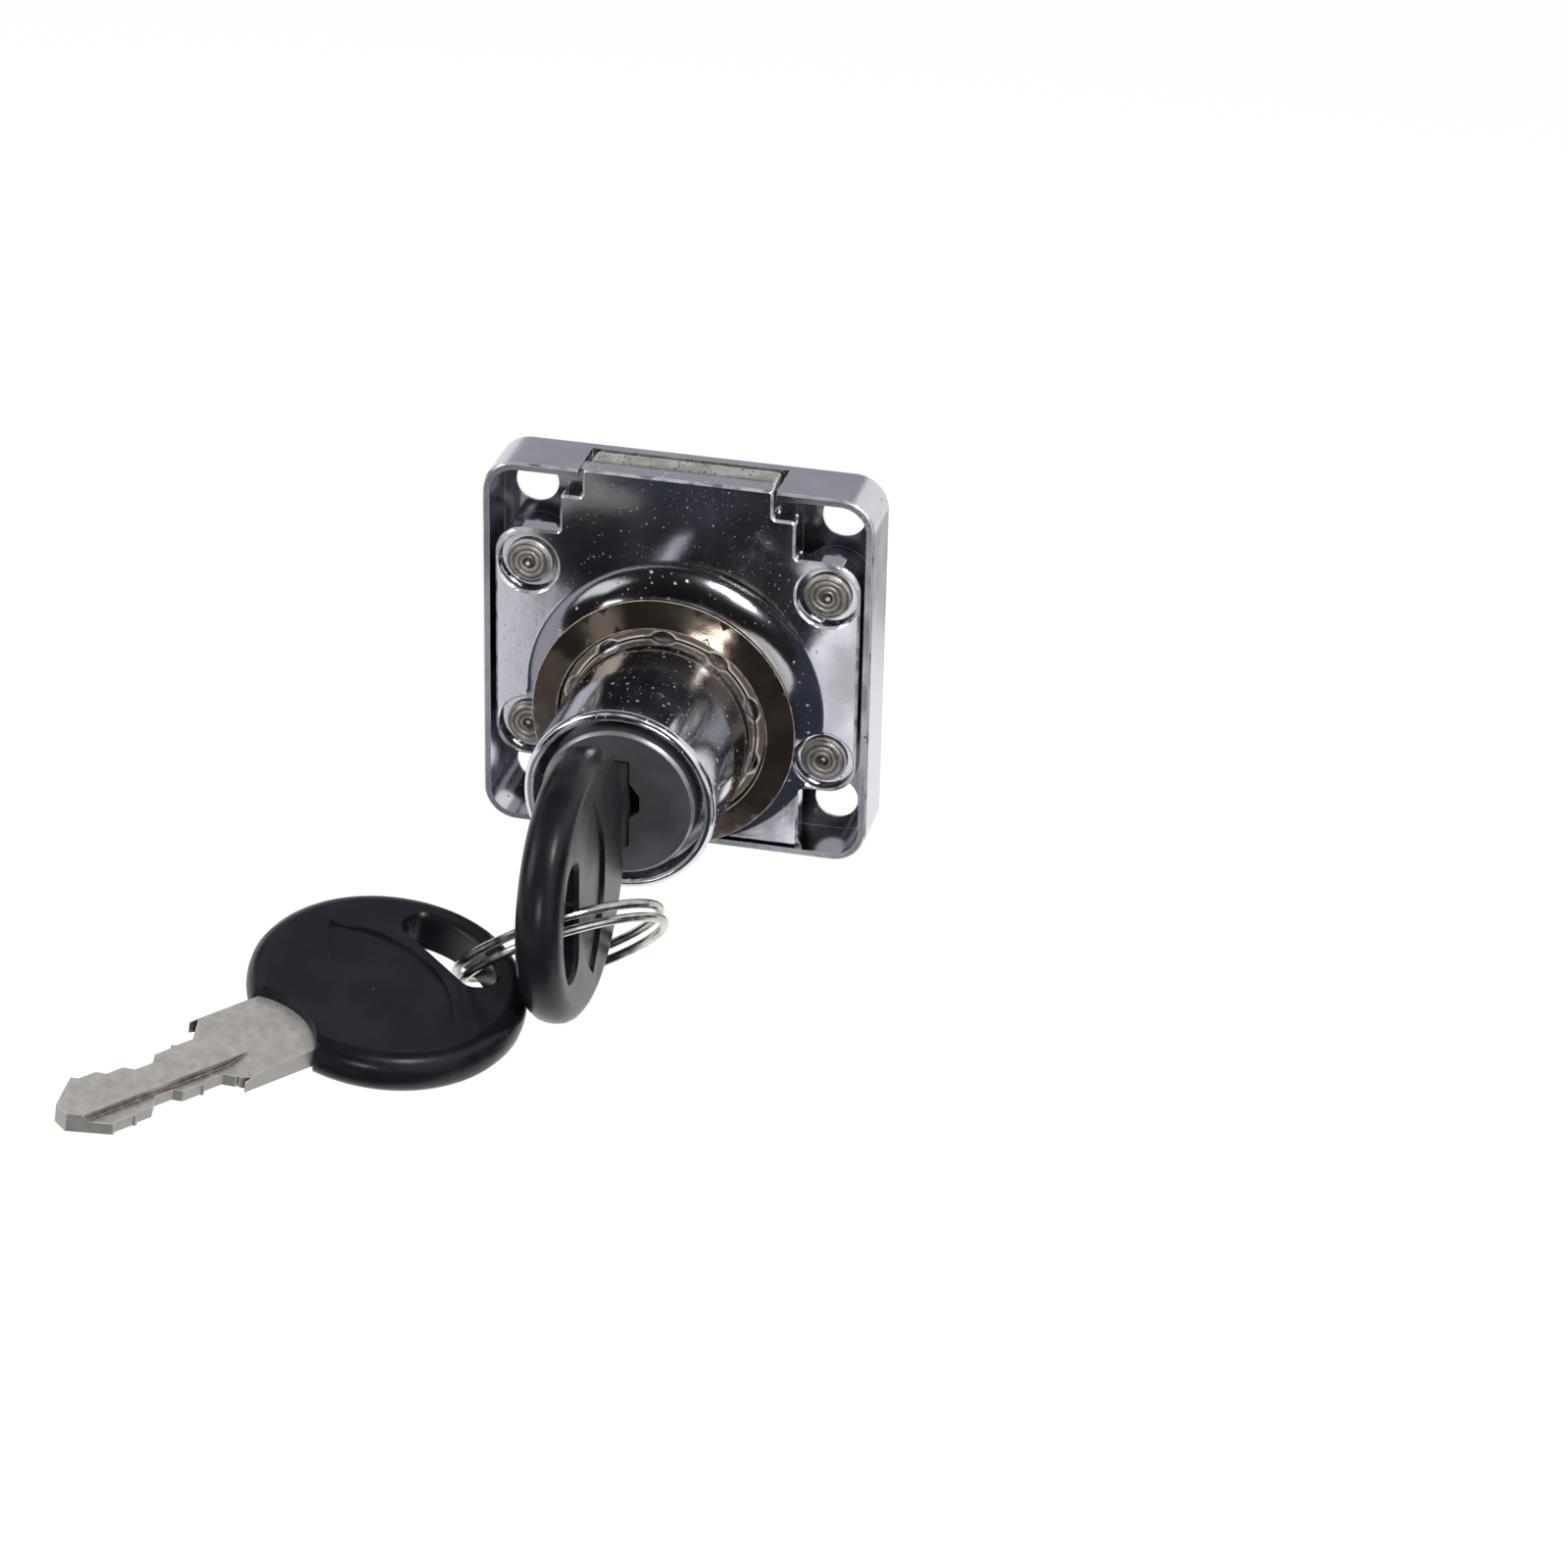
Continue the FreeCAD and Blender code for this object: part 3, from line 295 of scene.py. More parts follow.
def about_y(tree, place):
    """A place without its depth, and its distance from the line along Y."""
    flat = tree.vector("MULTIPLY", place, (1.0, 0.0, 1.0))
    return flat, tree.measure("LENGTH", flat)


def angle_about_y(tree, flat):
    """The angle of a place round the line along Y."""
    parts = tree.split(flat)
    return tree.calc("ARCTAN2", parts["Z"], parts["X"])


def wave(tree, phase):
    """A wave between 0 and 1."""
    return tree.calc("MULTIPLY_ADD", tree.calc("SINE", phase), 0.5, 0.5)


def noise_at(tree, place, **settings):
    """Noise between 0 and 1, with one feature per unit of the place."""
    return tree.new("ShaderNodeTexNoise", {"Vector": place, "Scale": 1.0, **settings}).outputs["Fac"]


def specks_effect():
    """Small round specks scattered at random."""
    tree, entry, leave = effect_group(
        "Specks", {"Spacing": 1.0, "Share": 0.5, "Radius": 0.2}, ["Mask"]
    )
    place = cells_of(tree, entry["Spacing"])
    spots = tree.new("ShaderNodeTexVoronoi", {"Vector": place, "Scale": 1.0})
    random = tree.new("ShaderNodeSeparateColor", {"Color": spots.outputs["Color"]}).outputs
    reach = tree.calc("MULTIPLY", entry["Radius"], tree.calc("ADD", 0.35, random["Green"]))
    edge = tree.calc("MULTIPLY", reach, 0.6)
    dot = tree.between(spots.outputs["Distance"], edge, reach, 1.0, 0.0)
    chosen = tree.calc("LESS_THAN", random["Red"], entry["Share"])
    tree.feed(leave["Mask"], tree.calc("MULTIPLY", dot, chosen))
    return tree.tree


def clouds_effect():
    """Soft uneven patches, which can be longer along one direction."""
    tree, entry, leave = effect_group(
        "Clouds", {"Size": 10.0, "Stretch": (1.0, 1.0, 1.0), "Low": 0.4, "High": 0.7}, ["Mask"]
    )
    place = tree.vector("MULTIPLY", cells_of(tree, entry["Size"]), entry["Stretch"])
    noise = noise_at(tree, place, Detail=3.0, Roughness=0.55)
    tree.feed(leave["Mask"], tree.between(noise, entry["Low"], entry["High"]))
    return tree.tree


def grain_effect():
    """The fine unevenness of a casting under its plating."""
    tree, entry, leave = effect_group("Grain", {"Size": 0.3}, ["Height"])
    tree.feed(leave["Height"], noise_at(tree, cells_of(tree, entry["Size"]), Detail=4.0, Roughness=0.6))
    return tree.tree


def edge_highlight_effect():
    """A painted highlight on the narrow bevel between a front and its side, broken up by noise."""
    tree, entry, leave = effect_group(
        "Edge strip", {"Low": 0.6, "High": 0.82, "Break up": 1.5}, ["Mask"]
    )
    depth = tree.calc("ABSOLUTE", tree.split(way_faced(tree))["Y"])
    before = tree.calc("SUBTRACT", entry["Low"], 0.05)
    after = tree.calc("ADD", entry["High"], 0.05)
    above = tree.between(depth, before, entry["Low"])
    below = tree.between(depth, entry["High"], after, 1.0, 0.0)
    noise = noise_at(tree, cells_of(tree, entry["Break up"]))
    broken = tree.between(noise, 0.3, 0.55, 0.4, 1.0)
    tree.feed(leave["Mask"], tree.calc("MULTIPLY", tree.calc("MULTIPLY", above, below), broken))
    return tree.tree


def recess_effect():
    """Corners and grooves that other faces stand close to, darkened there as painted shade."""
    tree, entry, leave = effect_group(
        "Recess", {"Reach": 1.0, "Low": 0.45, "High": 0.9, "Break up": 0.8}, ["Mask"]
    )
    reach = tree.calc("MULTIPLY", entry["Reach"], MM)
    nearby = tree.new("ShaderNodeAmbientOcclusion", {"Distance": reach}, samples=8, only_local=True)
    shut = tree.between(nearby.outputs["AO"], entry["Low"], entry["High"], 1.0, 0.0)
    noise = noise_at(tree, cells_of(tree, entry["Break up"]))
    broken = tree.between(noise, 0.3, 0.6, 0.55, 1.0)
    tree.feed(leave["Mask"], tree.calc("MULTIPLY", shut, broken))
    return tree.tree


def turned_effect():
    """Rings left by a tool that turned about the barrel's axis, and the distance from that axis."""
    tree, entry, leave = effect_group("Turned", {"Pitch": 0.5}, ["Height", "Distance"])
    _, distance = about_y(tree, in_millimetres(tree))
    turns = tree.calc("DIVIDE", distance, entry["Pitch"])
    tree.feed(leave["Height"], wave(tree, tree.calc("MULTIPLY", turns, 2 * math.pi)))
    tree.feed(leave["Distance"], distance)
    return tree.tree


def hairlines_effect():
    """Long thin polishing marks along one direction."""
    tree, entry, leave = effect_group(
        "Hairlines", {"Width": 0.05, "Along": (1.0, 1.0, 0.03), "Low": 0.55, "High": 0.7}, ["Mask"]
    )
    place = tree.vector("MULTIPLY", cells_of(tree, entry["Width"]), entry["Along"])
    noise = noise_at(tree, place, Detail=2.0)
    tree.feed(leave["Mask"], tree.between(noise, entry["Low"], entry["High"]))
    return tree.tree


SPECKS = specks_effect()
CLOUDS = clouds_effect()
GRAIN = grain_effect()
EDGE_HIGHLIGHT = edge_highlight_effect()
RECESS = recess_effect()
TURNED = turned_effect()
HAIRLINES = hairlines_effect()


# Materials

class Finish:
    """A material with one Principled shader, filled in step by step."""

    def __init__(self, name, metallic=1.0):
        self.material = bpy.data.materials.new(name)
        self.material.use_nodes = True
        self.nodes = Tree(self.material.node_tree)
        self.shader = self.material.node_tree.nodes["Principled BSDF"]
        self.shader.inputs["Metallic"].default_value = metallic

    def set(self, **values):
        for name, value in values.items():
            self.nodes.feed(self.shader.inputs[name.replace("_", " ")], value)

    def raise_by(self, height, distance):
        """A bump of a real height in millimetres, on top of the one before."""
        bump = self.nodes.new("ShaderNodeBump", {"Height": height, "Distance": distance * MM})
        before = self.shader.inputs["Normal"]
        if before.is_linked:
            self.nodes.feed(bump.inputs["Normal"], before.links[0].from_socket)
        self.nodes.feed(before, bump.outputs["Normal"])


def cover_chrome():
    """Bright chrome on the cover: a mirror with pale specks and smudges, painted shade under the trim
    ring, and a painted highlight on its edges.
    """
    finish = Finish("Cover chrome")
    nodes = finish.nodes
    dust = nodes.effect(SPECKS, Spacing=0.85, Share=0.5, Radius=0.2)["Mask"]
    fine = nodes.effect(SPECKS, Spacing=0.45, Share=0.5, Radius=0.2)["Mask"]
    smudge = nodes.effect(CLOUDS, Size=9.0, Stretch=(0.8, 1.0, 0.5), Low=0.45, High=0.75)["Mask"]
    # Painted highlight: the edge bevel turns pale and less metallic.
    highlight = nodes.effect(EDGE_HIGHLIGHT, Low=0.62, High=0.8, Break_up=1.8)["Mask"]
    specks = nodes.calc("MAXIMUM", dust, nodes.calc("MULTIPLY", fine, 0.65))
    # Painted shade: a dark brown band on the cover under the trim ring's rim.
    beside = nodes.between(nodes.effect(TURNED)["Distance"], *TRIM_SHADE_RADII, 1.0, 0.0)
    shaded_behind = nodes.between(nodes.split(in_millimetres(nodes))["Y"], *TRIM_SHADE_DEPTHS)
    trim_shade = nodes.calc("MULTIPLY", beside, shaded_behind)
    plate = nodes.blend(smudge, (0.58, 0.59, 0.65, 1), (0.64, 0.64, 0.69, 1))
    specked = nodes.blend(specks, plate, (0.72, 0.73, 0.76, 1))
    trim_shaded = nodes.blend(trim_shade, specked, (0.17, 0.13, 0.09, 1))
    speck_dull = nodes.calc("MULTIPLY", specks, 0.4)
    dull = nodes.calc("MAXIMUM", speck_dull, nodes.calc("MULTIPLY", smudge, 0.02))
    # Dust and smudges make the chrome less metallic, and so does the painted edge highlight.
    dulled_and_highlit = nodes.calc("MAXIMUM", dull, nodes.calc("MULTIPLY", highlight, 0.5))
    polish = nodes.between(smudge, 0.0, 1.0, 0.1, 0.17)
    finish.set(
        Base_Color=nodes.blend(highlight, trim_shaded, (0.86, 0.87, 0.9, 1)),
        Metallic=nodes.calc("SUBTRACT", 1.0, dulled_and_highlit),
        Roughness=nodes.calc("MULTIPLY_ADD", specks, 0.3, polish),
    )
    finish.raise_by(nodes.effect(GRAIN, Size=2.4)["Height"], 0.006)
    finish.raise_by(dust, 0.006)
    return finish.material


def case_chrome():
    """Satin chrome on the case: grainy and pitted, with a painted dark reflection on its back, rough in
    the sunk panel, and a painted highlight on its edges.
    """
    finish = Finish("Case chrome")
    nodes = finish.nodes
    pits = nodes.effect(SPECKS, Spacing=1.3, Share=0.3, Radius=0.1)["Mask"]
    tone = nodes.effect(CLOUDS, Size=6.0, Low=0.35, High=0.75)["Mask"]
    # Painted highlight: the edge bevel turns pale and less metallic.
    highlight = nodes.effect(EDGE_HIGHLIGHT, Low=0.55, High=0.84, Break_up=2.2)["Mask"]
    metal = nodes.blend(tone, (0.57, 0.57, 0.62, 1), (0.64, 0.64, 0.69, 1))
    pitted = nodes.blend(pits, metal, (0.2, 0.19, 0.19, 1))
    depth = nodes.split(in_millimetres(nodes))["Y"]
    backward = nodes.between(nodes.split(way_faced(nodes))["Y"], 0.93, 0.98)
    past_floor = nodes.between(depth, PANEL_FLOOR + 0.15, PANEL_FLOOR + 0.25)
    from_floor = nodes.between(depth, PANEL_FLOOR - 0.15, PANEL_FLOOR - 0.05)
    # Painted reflection: the back past the panel's floor is darkened to a dark mirror.
    back = nodes.calc("MULTIPLY", backward, past_floor)
    within = nodes.calc("MULTIPLY", from_floor, backward)
    panel = nodes.calc("SUBTRACT", within, back, clamp=True)
    mirror = nodes.blend(back, pitted, (0.11, 0.11, 0.13, 1))
    grains = nodes.effect(SPECKS, Spacing=0.35, Share=0.6, Radius=0.3)["Mask"]
    rough_floor = nodes.blend(grains, (0.045, 0.045, 0.055, 1), (0.1, 0.1, 0.115, 1))
    floored = nodes.blend(panel, mirror, rough_floor)
    plated = nodes.between(highlight, 0.0, 1.0, 1.0, 0.6)
    satin = nodes.between(tone, 0.0, 1.0, 0.16, 0.24)
    finish.set(
        Base_Color=nodes.blend(highlight, floored, (0.84, 0.84, 0.88, 1)),
        Metallic=nodes.calc("SUBTRACT", plated, nodes.calc("MULTIPLY", panel, 0.6)),
        Roughness=nodes.calc("MULTIPLY_ADD", panel, 0.35, satin),
    )
    finish.raise_by(nodes.effect(GRAIN, Size=0.5)["Height"], 0.006)
    finish.raise_by(pits, -0.015)
    return finish.material


def edge_highlights(name, pale, dull, metallic, size):
    """The rounded edges of a piece, painted paler than its faces as a highlight, with duller stretches.
    """
    finish = Finish(name, metallic)
    nodes = finish.nodes
    highlight_share = nodes.effect(CLOUDS, Size=size, Low=0.35, High=0.58)["Mask"]
    finish.set(
        Base_Color=nodes.blend(highlight_share, dull, pale),
        Roughness=nodes.between(highlight_share, 0.0, 1.0, 0.45, 0.28),
    )
    finish.raise_by(nodes.effect(GRAIN, Size=0.2)["Height"], 0.005)
    return finish.material


def panel_chrome():
    """The cast lattice on the back: grey chrome with pits and painted glints."""
    finish = Finish("Panel chrome", metallic=0.6)
    nodes = finish.nodes
    # Painted glints: near-white specks over the grey metal.
    painted_glints = nodes.effect(SPECKS, Spacing=1.1, Share=0.35, Radius=0.16)["Mask"]
    tone = nodes.effect(CLOUDS, Size=1.2, Low=0.35, High=0.7)["Mask"]
    metal = nodes.blend(tone, (0.2, 0.2, 0.225, 1), (0.42, 0.42, 0.46, 1))
    finish.set(
        Base_Color=nodes.blend(painted_glints, metal, (0.9, 0.9, 0.9, 1)),
        Roughness=nodes.between(tone, 0.0, 1.0, 0.3, 0.5),
    )
    finish.raise_by(nodes.effect(GRAIN, Size=0.22)["Height"], 0.03)
    return finish.material


def rivet_steel():
    """Spun steel: brownish, with rings round each rivet's middle, painted shade in that middle, a
    painted glint beside it and a painted highlight on its edges.
    """
    finish = Finish("Rivet steel", metallic=0.65)
    nodes = finish.nodes
    tone = nodes.effect(CLOUDS, Size=1.2, Low=0.35, High=0.65)["Mask"]
    # Painted highlight: a pale rim on the edge bevel.
    highlight = nodes.effect(EDGE_HIGHLIGHT, Low=0.5, High=0.78, Break_up=0.9)["Mask"]
    metal = nodes.blend(tone, (0.36, 0.32, 0.295, 1), (0.5, 0.465, 0.43, 1))
    rings, middle, dot = rivet_rings(nodes)
    in_groove = nodes.between(rings, 0.0, 0.6, 0.85, 0.0)
    # Painted shade fills each rivet's middle, and a painted glint sits beside it.
    in_painted_shade = nodes.between(middle, *RIVET_SHADE_RADII, 0.9, 0.0)
    grooved = nodes.blend(in_groove, metal, (0.1, 0.085, 0.075, 1))
    shaded_middle = nodes.blend(in_painted_shade, grooved, (0.035, 0.03, 0.027, 1))
    glinted = nodes.blend(nodes.between(dot, *RIVET_GLINT_RADII, 1.0, 0.0), shaded_middle, (0.85, 0.83, 0.8, 1))
    finish.set(
        Base_Color=nodes.blend(highlight, glinted, (0.74, 0.71, 0.68, 1)),
        Roughness=nodes.between(tone, 0.0, 1.0, 0.26, 0.38),
    )
    finish.raise_by(rings, 0.05)
    finish.raise_by(nodes.effect(GRAIN, Size=0.15)["Height"], 0.01)
    return finish.material


def rivet_rings(nodes):
    """Rings about the middle of the nearest rivet, and the distances from it and from the painted glint
    beside it.

    The four middles are mirror images of one."""
    low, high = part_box("cover_rivets")
    centre = (low + high) / 2
    reach = (high - low) / 2 / MM
    place = nodes.vector("SUBTRACT", in_millimetres(nodes), tuple(centre / MM))
    mirrored = nodes.vector("ABSOLUTE", place)
    middle = (reach.x - RIVET_RADIUS, 0, reach.z - RIVET_RADIUS)
    flat, distance = about_y(nodes, nodes.vector("SUBTRACT", mirrored, middle))
    angle = angle_about_y(nodes, flat)
    phase = nodes.calc("MULTIPLY_ADD", distance, 2 * math.pi / RIVET_PITCH, angle)
    return wave(nodes, phase), distance, nodes.measure("DISTANCE", flat, RIVET_GLINT_PLACE)


def plug_metal():
    """Satin nickel on the plug, turned on its face and browned round the keyhole."""
    finish = Finish("Plug nickel", metallic=0.65)
    nodes = finish.nodes
    turned = nodes.effect(TURNED, Pitch=0.35)
    patch = nodes.effect(CLOUDS, Size=3.5, Low=0.3, High=0.75)["Mask"]
    near = nodes.between(turned["Distance"], *STAIN_RADII, 0.7, 0.0)
    # Painted highlight: a pale rim line on the edge bevel.
    highlight = nodes.effect(EDGE_HIGHLIGHT, Low=0.5, High=0.9, Break_up=2.0)["Mask"]
    plain = nodes.blend(patch, (0.15, 0.148, 0.172, 1), (0.185, 0.182, 0.207, 1))
    metal = nodes.blend(nodes.calc("MULTIPLY", near, patch), plain, (0.24, 0.19, 0.14, 1))
    finish.set(
        Base_Color=nodes.blend(highlight, metal, (0.36, 0.36, 0.39, 1)),
        Roughness=nodes.between(patch, 0.0, 1.0, 0.32, 0.4),
    )
    finish.raise_by(turned["Height"], 0.002)
    finish.raise_by(nodes.effect(GRAIN, Size=0.12)["Height"], 0.005)
    return finish.material


def tooth_line(nodes):
    """How far a place lies outside the step's inner edge, and its distance from the axis.

    That edge runs along the circle that grips the barrel and round the notches in it."""
    flat, radius = about_y(nodes, in_millimetres(nodes))
    share = nodes.calc("MULTIPLY", angle_about_y(nodes, flat), NOTCHES / (2 * math.pi))
    folded = nodes.calc("SUBTRACT", nodes.calc("FRACT", share), 0.5)
    angle = nodes.calc("MULTIPLY", folded, 2 * math.pi / NOTCHES)
    outward = nodes.calc("MULTIPLY", radius, nodes.calc("COSINE", angle))
    ahead = nodes.calc("SUBTRACT", outward, NOTCH_CENTRE)
    aside = nodes.calc("MULTIPLY", radius, nodes.calc("SINE", angle))
    squares = nodes.calc("MULTIPLY_ADD", ahead, ahead, nodes.calc("MULTIPLY", aside, aside))
    from_notch = nodes.calc("SUBTRACT", nodes.calc("SQRT", squares), NOTCH_RADIUS)
    from_grip = nodes.calc("SUBTRACT", radius, GRIP_RADIUS)
    return nodes.calc("MINIMUM", from_grip, from_notch), radius


def trim_nickel():
    """Polished nickel browned with age, with spots and a dull inner step; a painted highlight runs
    along the toothed inner edge, and faces that look back get painted shade.
    """
    finish = Finish("Trim nickel")
    nodes = finish.nodes
    spots = nodes.effect(SPECKS, Spacing=4.0, Share=0.35, Radius=0.14)["Mask"]
    tone = nodes.effect(CLOUDS, Size=4.0, Low=0.35, High=0.7)["Mask"]
    highlight_share = nodes.effect(CLOUDS, Size=1.3, Low=0.38, High=0.5)["Mask"]
    edge, radius = tooth_line(nodes)
    within = nodes.between(radius, *STEP_RADII, 1.0, 0.0)
    # Painted shade: faces that look back towards the cover turn dark brown.
    shaded_behind = nodes.between(nodes.split(way_faced(nodes))["Y"], 0.1, 0.4)
    # Painted highlight: a pale band along the step's inner edge, round the notches.
    along_edge = nodes.between(edge, *TOOTH_HIGHLIGHT_REACH, 1.0, 0.0)
    line = nodes.calc("MULTIPLY", along_edge, nodes.between(highlight_share, 0.0, 1.0, 0.35, 1.0))
    tooth_highlight = nodes.calc("MULTIPLY", line, within)
    metal = nodes.blend(tone, (0.095, 0.073, 0.056, 1), (0.145, 0.115, 0.088, 1))
    spotted = nodes.blend(spots, metal, (0.07, 0.045, 0.03, 1))
    browned = nodes.blend(within, spotted, (0.2, 0.155, 0.11, 1))
    # The painted tooth highlight goes over the dull step.
    dulled_and_highlit = nodes.blend(tooth_highlight, browned, (0.98, 0.9, 0.76, 1))
    polish = nodes.between(tone, 0.0, 1.0, 0.09, 0.14)
    finish.set(
        Base_Color=nodes.blend(shaded_behind, dulled_and_highlit, (0.05, 0.04, 0.025, 1)),
        Metallic=nodes.between(within, 0.0, 1.0, 0.82, 0.2),
        Roughness=nodes.calc("MAXIMUM", polish, nodes.calc("MULTIPLY", within, 0.4)),
    )
    finish.raise_by(nodes.effect(GRAIN, Size=1.2)["Height"], 0.006)
    finish.raise_by(nodes.effect(TURNED, Pitch=0.25)["Height"], 0.0003)
    return finish.material


def bolt_nickel():
    """Tumbled nickel on the bolt: warm grey and grainy."""
    finish = Finish("Bolt nickel")
    nodes = finish.nodes
    grains = nodes.effect(SPECKS, Spacing=0.5, Share=0.6, Radius=0.38)["Mask"]
    tone = nodes.effect(CLOUDS, Size=2.0, Low=0.35, High=0.7)["Mask"]
    metal = nodes.blend(tone, (0.5, 0.47, 0.42, 1), (0.74, 0.71, 0.64, 1))
    finish.set(
        Base_Color=nodes.blend(nodes.calc("MULTIPLY", grains, 0.85), metal, (0.17, 0.15, 0.125, 1)),
        Metallic=0.75,
        Roughness=nodes.between(grains, 0.0, 1.0, 0.32, 0.48),
    )
    finish.raise_by(grains, -0.03)
    return finish.material


def black_plastic():
    """Glossy moulded plastic with faint rub marks and dust."""
    finish = Finish("Black plastic", metallic=0.0)
    nodes = finish.nodes
    dust = nodes.effect(SPECKS, Spacing=1.6, Share=0.3, Radius=0.07)["Mask"]
    rub = nodes.effect(CLOUDS, Size=5.0, Low=0.4, High=0.75)["Mask"]
    body = nodes.blend(rub, (0.008, 0.008, 0.0125, 1), (0.013, 0.013, 0.02, 1))
    finish.set(
        Base_Color=nodes.blend(dust, body, (0.1, 0.1, 0.11, 1)),
        Roughness=nodes.between(rub, 0.0, 1.0, 0.27, 0.36),
        Specular_IOR_Level=0.4,
        IOR=1.38,
    )
    finish.raise_by(nodes.effect(GRAIN, Size=0.35)["Height"], 0.006)
    return finish.material


def key_nickel(name, metallic, flat, share=1.0):
    """Nickel on a blade: grainy and speckled, with painted shade on its cut sides and in its grooves.

    The blade's flat side faces the way of flat, and a share under 1 darkens all the colours as painted
    shade."""
    finish = Finish(name, metallic)
    nodes = finish.nodes

    def tint(red, green, blue):
        return red * share, green * share, blue * share, 1

    specks = nodes.effect(SPECKS, Spacing=0.5, Share=0.5, Radius=0.22)["Mask"]
    stains = nodes.effect(SPECKS, Spacing=2.6, Share=0.45, Radius=0.11)["Mask"]
    tone = nodes.effect(CLOUDS, Size=1.1, Low=0.3, High=0.7)["Mask"]
    metal = nodes.blend(tone, tint(0.54, 0.51, 0.47), tint(0.68, 0.65, 0.61))
    marked = nodes.blend(nodes.calc("MULTIPLY", specks, 0.45), metal, tint(0.36, 0.335, 0.3))
    stained = nodes.blend(nodes.calc("MULTIPLY", stains, 0.65), marked, tint(0.2, 0.175, 0.15))
    flatness = nodes.calc("ABSOLUTE", nodes.measure("DOT_PRODUCT", way_faced(nodes), flat))
    # Painted shade on the faces that don't look the way of the flat.
    side = nodes.between(flatness, 0.3, 0.75, 0.75, 0.0)
    side_shaded = nodes.blend(side, stained, tint(0.38, 0.36, 0.335))
    # Painted shade in corners and grooves, found by ambient occlusion and tinted brown.
    recess_shade = nodes.effect(RECESS, Reach=1.3, Low=0.55, High=0.95, Break_up=0.7)["Mask"]
    finish.set(
        Base_Color=nodes.blend(recess_shade, side_shaded, tint(0.12, 0.095, 0.07)),
        Roughness=nodes.between(tone, 0.0, 1.0, 0.42, 0.5),
    )
    finish.raise_by(nodes.effect(GRAIN, Size=0.25)["Height"], 0.012)
    return finish.material


def ring_nickel():
    """Nickel-plated spring wire with duller stretches."""
    finish = Finish("Ring nickel")
    nodes = finish.nodes
    tone = nodes.effect(CLOUDS, Size=1.5, Low=0.35, High=0.7)["Mask"]
    finish.set(
        Base_Color=nodes.blend(tone, (0.44, 0.42, 0.385, 1), (0.66, 0.635, 0.59, 1)),
        Roughness=nodes.between(tone, 0.0, 1.0, 0.16, 0.28),
    )
    finish.raise_by(nodes.effect(GRAIN, Size=0.3)["Height"], 0.008)
    return finish.material


def stamped_brass():
    """Brass on the wafers, with the long marks of its rolling."""
    finish = Finish("Stamped brass")
    nodes = finish.nodes
    tone = nodes.effect(CLOUDS, Size=1.5, Low=0.35, High=0.7)["Mask"]
    lines = nodes.effect(HAIRLINES, Width=0.08, Along=(0.05, 1.0, 1.0), Low=0.5, High=0.68)["Mask"]
    finish.set(
        Base_Color=nodes.blend(tone, (0.6, 0.42, 0.16, 1), (0.75, 0.56, 0.26, 1)),
        Roughness=nodes.between(lines, 0.0, 1.0, 0.24, 0.4),
    )
    finish.raise_by(lines, 0.006)
    return finish.material


def spring_steel():
    """Plain spring steel, a little uneven."""
    finish = Finish("Spring steel")
    nodes = finish.nodes
    tone = nodes.effect(CLOUDS, Size=0.8, Low=0.35, High=0.7)["Mask"]
    finish.set(
        Base_Color=nodes.blend(tone, (0.38, 0.38, 0.4, 1), (0.55, 0.55, 0.57, 1)),
        Roughness=nodes.between(tone, 0.0, 1.0, 0.25, 0.38),
    )
    return finish.material


# The CAD pieces

def soften_edges(piece, width, slot, whole):
    """Rounds sharp edges a little, so that they catch light as real ones do.

    Where whole is true, flat faces are joined first, and the rounding stops before it overlaps."""
    weld = piece.modifiers.new("Weld", "WELD")
    weld.merge_threshold = WELD_DISTANCE * MM
    if whole:
        flats = piece.modifiers.new("Flats", "DECIMATE")
        flats.decimate_type = "DISSOLVE"
        flats.angle_limit = math.radians(FLAT_ANGLE)
    bevel = piece.modifiers.new("Bevel", "BEVEL")
    bevel.limit_method = "ANGLE"
    bevel.angle_limit = math.radians(EDGE_ANGLE)
    bevel.width = width * MM
    bevel.segments = EDGE_SEGMENTS
    bevel.use_clamp_overlap = whole
    bevel.material = slot
    normals = piece.modifiers.new("Normals", "WEIGHTED_NORMAL")
    normals.mode = "FACE_AREA"
    normals.keep_sharp = False


def dress(name, material, width, edges=None, whole=True):
    """Gives a CAD piece its finish, and rounds its edges by a width in millimetres."""
    piece = NODES[name]
    piece.data.materials.clear()
    piece.data.materials.append(material)
    if edges:
        piece.data.materials.append(edges)
    for face in piece.data.polygons:
        face.use_smooth = True
    if width:
        soften_edges(piece, width, 1 if edges else -1, whole)


